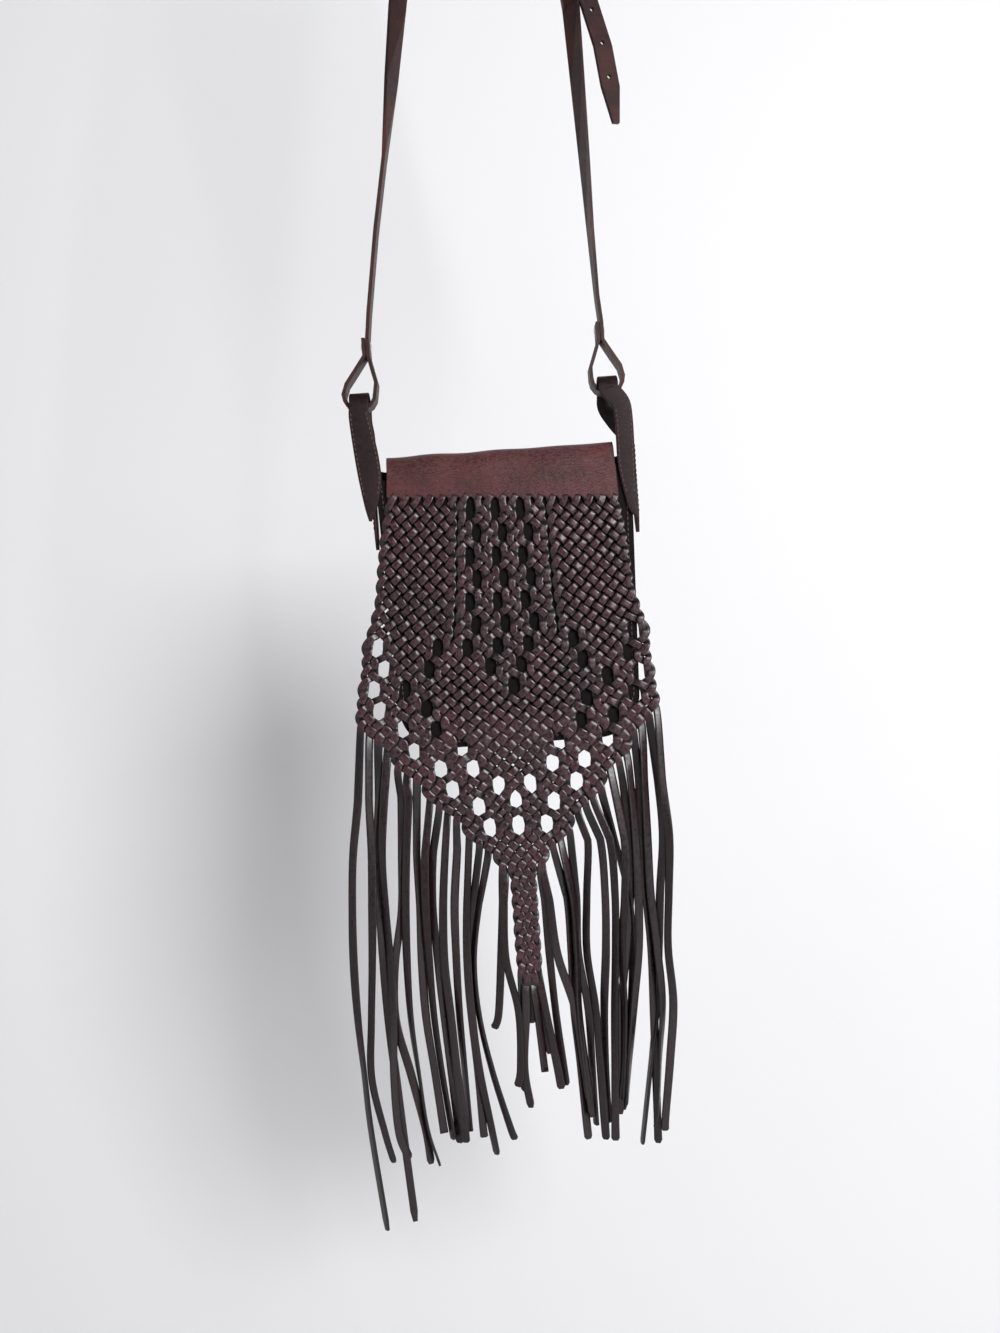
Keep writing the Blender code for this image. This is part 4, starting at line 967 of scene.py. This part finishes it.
@dataclass
class Pouch:
    """The dark pouch: two panels that sag between stitched edges, and a gusset folded inwards."""

    x: float = 0.003
    half_top: float = 0.093
    half_bottom: float = 0.086
    top: float = 0.003
    bottom: float = 0.207
    corner: float = 0.030
    front: float = -0.0080
    back_top: float = 0.0080
    back_bottom: float = 0.0200
    panel: float = 0.0018
    mouth: float = 0.008

    def half(self, depth: Array) -> Array:
        """Half the width at a depth."""
        share = (depth - self.top) / (self.bottom - self.top)
        return self.half_top + (self.half_bottom - self.half_top) * share

    def floor(self, u: Array) -> Array:
        """Depth of the bottom edge at a share of the half width: straight, with round corners."""
        over = np.maximum(0.0, np.abs(u) * self.half_bottom - (self.half_bottom - self.corner))
        return self.bottom - self.corner + np.sqrt(np.maximum(0.0, self.corner ** 2 - over ** 2))

    def back_y(self, depth: Array) -> Array:
        """Outer face of the back panel."""
        rise = (self.back_bottom - self.back_top) * (depth - self.top)
        return self.back_top + rise / (self.bottom - self.top)

    def sheet(self, is_front: bool) -> tuple[Array, Array, Array]:
        """One panel's outer face: the outline's columns, sagging by a bowl of u and t plus soft waves.

        Args:
            is_front: Whether this is the front panel.

        Returns:
            Outer face, inner face and crown values, higher on the ripples' crests.
        """
        u = np.sin(np.linspace(-1, 1, 72) * math.pi / 2)[None]
        t = np.linspace(0, 1, 64)[:, None]
        top = self.top + (self.mouth if is_front else 0.0)
        depth = top + (self.floor(u) - top) * t
        x = self.x + u * self.half(depth)
        bowl = (1 - u ** 4) * np.sin(math.pi * np.clip(t, 0, 1)) ** 0.7
        ripple = waves(x, depth, 11 if is_front else 12, 0.06) * bowl
        if is_front:
            y = self.front + 0.0012 * bowl * (0.5 + 0.3 * ripple)
            inward = 1.0
        else:
            y = self.back_y(depth) - 0.0006 + bowl * (0.0022 + 0.0009 * ripple)
            inward = -1.0
        outer = place(x, y, depth)
        inner = place(x, y + inward * self.panel, depth)
        crown = np.clip(0.35 + 0.5 * ripple, 0, 1) * np.ones_like(depth)
        return outer, inner, crown

    def outline(self, inset: float, count: int) -> Array:
        """Even points round the sides and bottom, a little inside the edge.

        Args:
            inset: Metres inside the edge.
            count: How many.

        Returns:
            x and depth, count by 2.
        """
        sides = np.linspace(self.top + 0.012, self.bottom - self.corner, 60)
        left = np.stack([-self.half(sides) + inset, sides], axis=-1)
        angle = np.linspace(0, math.pi / 2, 20)[1:]
        r = self.corner - inset
        base = self.half_bottom
        low = self.bottom - self.corner
        bend = np.stack([-(base - self.corner + r * np.cos(angle)), low + r * np.sin(angle)], axis=-1)
        run = np.vstack([left, bend])
        line = np.vstack([run, (run * np.array([-1.0, 1.0]))[::-1]])
        length = along(line)
        wanted = np.linspace(0, length[-1], count)
        even = np.stack([np.interp(wanted, length, line[:, k]) for k in (0, 1)], axis=-1)
        return even + np.array([self.x, 0.0])

    def build(self, wardrobe: Wardrobe) -> list[bpy.types.Object]:
        """Build the panels, the gusset and the seams.

        Args:
            wardrobe: The finishes.

        Returns:
            The pieces.
        """
        made = []
        for name, is_front in (("pouch_front", True), ("pouch_back", False)):
            outer, inner, crown = self.sheet(is_front)
            batch = Batch()
            batch.slab(outer, inner, crown)
            piece = batch.make(name, wardrobe.get(Wardrobe.POUCH))
            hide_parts("front_panel" if is_front else "back_panel")
            made.append(piece)
        made += [self.gusset(wardrobe), self.seams(wardrobe)]
        for piece in made:
            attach(piece, Body.BAG.value)
        return made

    def gusset(self, wardrobe: Wardrobe) -> bpy.types.Object:
        """The gusset: across it the leather dips inwards by a sine, along it the dip comes and goes.

        Args:
            wardrobe: The finishes.

        Returns:
            The piece.
        """
        line = self.outline(0.0008, 150)
        top = np.array([[line[0, 0] - 0.0005, self.top + 0.001], [line[-1, 0] + 0.0005, self.top + 0.001]])
        line = np.vstack([top[:1], line, top[1:]])
        step = unit(np.gradient(line, axis=0))
        inward = np.stack([step[:, 1], -step[:, 0]], axis=-1)
        v = np.linspace(0, 1, 18)[None]
        depth0 = line[:, 1:2]
        front = self.front + self.panel + GAP
        back = self.back_y(depth0) - self.panel - GAP - 0.0006
        y = front + (back - front) * v
        dip = np.sin(math.pi * v) * (0.0035 + 0.0012 * waves(depth0, line[:, :1], 21, 0.05))
        dip = dip * np.ones_like(y)
        x = line[:, :1] + inward[:, :1] * dip
        depth = depth0 + inward[:, 1:] * dip
        outer = place(x, y, depth)
        inner = place(x + inward[:, :1] * 0.0016, y, depth + inward[:, 1:] * 0.0016)
        batch = Batch()
        batch.slab(outer, inner, 0.2)
        piece = batch.make("pouch_gusset", wardrobe.get(Wardrobe.POUCH))
        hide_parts("gusset")
        return piece

    def seams(self, wardrobe: Wardrobe) -> bpy.types.Object:
        """Running stitches just inside the panels' edges.

        Args:
            wardrobe: The finishes.

        Returns:
            The piece.
        """
        batch = Batch()
        line = self.outline(0.0040, 132)
        step = np.gradient(line, axis=0)
        runs = np.stack([step[:, 0], 0 * step[:, 0], -step[:, 1]], axis=-1)
        back = self.back_y(line[:, 1]) - 0.0004
        front = np.full(len(line), self.front + 0.0001)
        for y, out in ((back, 1.0), (front, -1.0)):
            outs = np.zeros((len(line), 3))
            outs[:, 1] = out
            batch.stitches(place(line[:, 0], y, line[:, 1]), runs, outs, 0.0030, 0.00042)
        return batch.make("pouch_seams", wardrobe.get(Wardrobe.THREAD))


@dataclass
class Tab:
    """A tab folded through the strap's eye: a short front leg and a long back leg turned to the gusset."""

    name: str
    side: int
    eye_x: float
    lead: tuple[tuple[float, float, float], ...]
    width: float = 0.014
    thick: float = 0.0024
    inner: float = 0.0094
    tip: float = 0.060
    pivot: float = -0.0428
    foot: float = 0.011
    back: tuple[float, ...] = (-0.034, -0.024, -0.014, -0.004, 0.012, 0.030, 0.047)

    def route(self) -> Array:
        """The tab's middle line. `lead` gives depth, x and width down the front leg, from its point.

        Returns:
            Rows of x, y, depth, turn about the upright, and width.
        """
        reach = self.inner + self.thick / 2
        foot_y = -0.0080 - self.thick / 2 - GAP
        gusset_x = 0.003 + self.side * (0.093 + self.thick / 2 + 2 * GAP)
        rows = []
        for depth, x, width in self.lead:
            t = min(1.0, max(0.0, (self.foot - depth) / (self.foot - self.pivot)))
            rows.append((x, foot_y - (reach + foot_y) * t, depth, 0.0, width))
        for angle in np.linspace(0, math.pi, 8):
            rows.append((self.eye_x, -reach * math.cos(angle), self.pivot - reach * math.sin(angle), 0.0,
                         self.width))
        for k, depth in enumerate(self.back + (self.tip,)):
            t = min(1.0, k / 3)
            rows.append((self.eye_x + (gusset_x - self.eye_x) * t, reach * (1 - t) ** 0.8, depth,
                         t * math.pi / 2, self.width if depth < self.tip else 0.003))
        return flow(np.array(rows), 6)

    def build(self, wardrobe: Wardrobe) -> list[bpy.types.Object]:
        """Sweep the tab along its fold and sew its legs.

        Args:
            wardrobe: The finishes.

        Returns:
            The pieces.
        """
        rows = self.route()
        world = place(rows[:, 0], rows[:, 1], rows[:, 2])
        turn, width = rows[:, 3], np.clip(rows[:, 4], 0.0015, 0.0185)
        across = np.stack([-np.cos(turn), self.side * np.sin(turn), 0 * turn], axis=-1)
        batch = Batch()
        sweep(batch, world, across, width, self.thick, TAB_PROFILE, 0.4)
        tab = batch.make(self.name + "_leather", wardrobe.get(Wardrobe.TAB))
        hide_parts(self.name)
        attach(tab, Body.BAG.value)
        thread = Batch()
        step = unit(np.gradient(world, axis=0))
        out = unit(np.cross(step, across))
        length = along(world)
        for start, end in ((0.020, 0.078), (length[-1] - 0.098, length[-1] - 0.014)):
            at = np.arange(start, end, 0.0036)
            middle, runs, sides, outs = (
                np.stack([np.interp(at, length, values[:, k]) for k in range(3)], axis=-1)
                for values in (world, step, across, out))
            half = np.interp(at, length, width)[:, None] * 0.5 - 0.0016
            for edge in (-1, 1):
                seat = middle + edge * sides * half + outs * self.thick / 2
                thread.stitches(seat, runs, outs, 0.0026, 0.0004)
        sewn = thread.make(self.name + "_stitches", wardrobe.get(Wardrobe.THREAD))
        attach(sewn, Body.BAG.value)
        return [tab, sewn]


def dress_nodes(frame: dict[str, Any], wardrobe: Wardrobe) -> None:
    """Give the carried-over solids their finishes.

    Args:
        frame: What load() returned.
        wardrobe: The finishes.
    """
    finishes = {"strap_long": Wardrobe.STRAP, "strap_short": Wardrobe.STRAP, "keeper_loop": Wardrobe.STRAP,
                "buckle_frame": Wardrobe.NICKEL, "buckle_prong": Wardrobe.NICKEL,
                "rivet_left": Wardrobe.NICKEL, "rivet_right": Wardrobe.NICKEL}
    for name, finish in finishes.items():
        node = frame["nodes"][name]
        node.data.materials.clear()
        node.data.materials.append(wardrobe.get(finish))
        LOG.info("dressed %s in %s", name, finish.name)


@dataclass
class Studio:
    """Pale seamless floor and backdrop, soft lamps, and the photograph's camera."""

    centre: tuple[float, float] = (-0.0291, -0.7709)
    distance: float = 0.85
    plane_y: float = -0.0102
    height: float = 0.960
    roll: float = math.radians(4.0)
    floor: float = -1.42
    wall: float = 0.42

    def camera(self) -> None:
        """Level camera before the bag, rolled as the photograph is."""
        lens = bpy.data.cameras.new("camera")
        lens.sensor_fit = "VERTICAL"
        lens.sensor_height = 24.0
        lens.lens = 24.0 * self.distance / self.height
        made = bpy.data.objects.new("camera", lens)
        c, s = math.cos(self.roll), math.sin(self.roll)
        made.matrix_world = Matrix(((c, s, 0, self.centre[0]), (0, 0, -1, self.plane_y - self.distance),
                                    (-s, c, 0, self.centre[1]), (0, 0, 0, 1)))
        bpy.context.scene.collection.objects.link(made)
        bpy.context.scene.camera = made

    def backdrop(self) -> None:
        """A sheet that runs back along the floor, turns up by a quarter circle and stands as a wall."""
        r = 0.5
        angle = np.linspace(0, math.pi / 2, 24)
        bend = np.stack([self.wall - r + r * np.sin(angle), self.floor + r - r * np.cos(angle)], axis=-1)
        line = np.vstack([[-4.0, self.floor], bend, [self.wall, 3.0]])
        x = np.array([-4.0, 4.0])
        points = np.stack(np.broadcast_arrays(x[None], line[:, :1], line[:, 1:]), axis=-1).reshape(-1, 3)
        a = np.arange(len(line) - 1) * 2
        faces = np.stack([a, a + 1, a + 3, a + 2], axis=-1)
        mesh = bpy.data.meshes.new("backdrop")
        mesh.from_pydata(points, [], faces.tolist())
        mesh.polygons.foreach_set("use_smooth", np.full(len(faces), True))
        bench = Bench("backdrop_paper")
        bench.shader.inputs["Base Color"].default_value = tone(238, 238, 240)
        bench.shader.inputs["Roughness"].default_value = 0.95
        bench.shader.inputs["Specular IOR Level"].default_value = 0.0
        behind = bench.node("ShaderNodeNewGeometry", {}, {}).outputs["Backfacing"]
        clear = bench.node("ShaderNodeBsdfTransparent", {}, {}).outputs[0]
        seen = bench.node("ShaderNodeMixShader", {}, {0: behind, 1: bench.shader.outputs[0], 2: clear})
        bench.feed(bench.tree.nodes["Material Output"].inputs["Surface"], seen.outputs[0])
        mesh.materials.append(bench.material)
        made = bpy.data.objects.new("backdrop", mesh)
        bpy.context.scene.collection.objects.link(made)

    def lamp(self, name: str, at: Sequence[float], aim: Sequence[float], size: float, power: float) -> None:
        """A square soft lamp.

        Args:
            name: Its name.
            at: Where it stands.
            aim: What it faces.
            size: Side in metres.
            power: Watts.
        """
        light = bpy.data.lights.new(name, "AREA")
        light.size = size
        light.energy = power
        made = bpy.data.objects.new(name, light)
        back = unit(np.array(at, float) - np.array(aim, float))
        right = unit(np.cross([0.0, 0.0, 1.0], back))
        up = np.cross(back, right)
        turn = Matrix(np.stack([right, up, back], axis=-1).tolist()).to_4x4()
        made.matrix_world = Matrix.Translation(at) @ turn
        bpy.context.scene.collection.objects.link(made)

    def build(self) -> None:
        """Set up the camera, the backdrop and the light."""
        self.camera()
        self.backdrop()
        self.lamp("window", (0.95, -1.65, -0.15), (0.0, 0.0, -0.75), 0.8, 40.0)
        self.lamp("fill", (-1.8, -1.6, -0.3), (0.0, 0.0, -0.75), 1.6, 7.0)
        world = bpy.data.worlds.new("room")
        bpy.context.scene.world = world
        world.use_nodes = True
        world.node_tree.nodes["Background"].inputs["Color"].default_value = (1.0, 1.0, 1.0, 1.0)
        world.node_tree.nodes["Background"].inputs["Strength"].default_value = 0.24
        bpy.context.scene.view_settings.view_transform = "Standard"


def main() -> None:
    """Load the solids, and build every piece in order."""
    logging.basicConfig(level=logging.INFO)
    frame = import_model()
    studio = Studio()
    studio.build()
    wardrobe = Wardrobe()
    flap = BraidedFlap()
    laces = flap.laces(wardrobe)
    made = laces + [flap.band(wardrobe)]
    made += Pouch().build(wardrobe)
    made += Tab("tab_left", -1, -0.0974, (
        (0.040, -0.0950, 0.0020), (0.030, -0.0938, 0.0090), (0.012, -0.0930, 0.0160),
        (-0.006, -0.0944, 0.0172), (-0.022, -0.0964, 0.0160), (-0.036, -0.0980, 0.0145))).build(wardrobe)
    made += Tab("tab_right", 1, 0.083, (
        (0.050, 0.0974, 0.0020), (0.043, 0.0950, 0.0070), (0.030, 0.0932, 0.0092),
        (0.012, 0.0920, 0.0125), (-0.006, 0.0922, 0.0130), (-0.022, 0.0922, 0.0130),
        (-0.033, 0.0905, 0.0135))).build(wardrobe)
    dress_nodes(frame, wardrobe)
    for piece in made:
        LOG.info("made %s with %d faces", piece.name, len(piece.data.polygons))


if __name__ == "__main__":
    main()
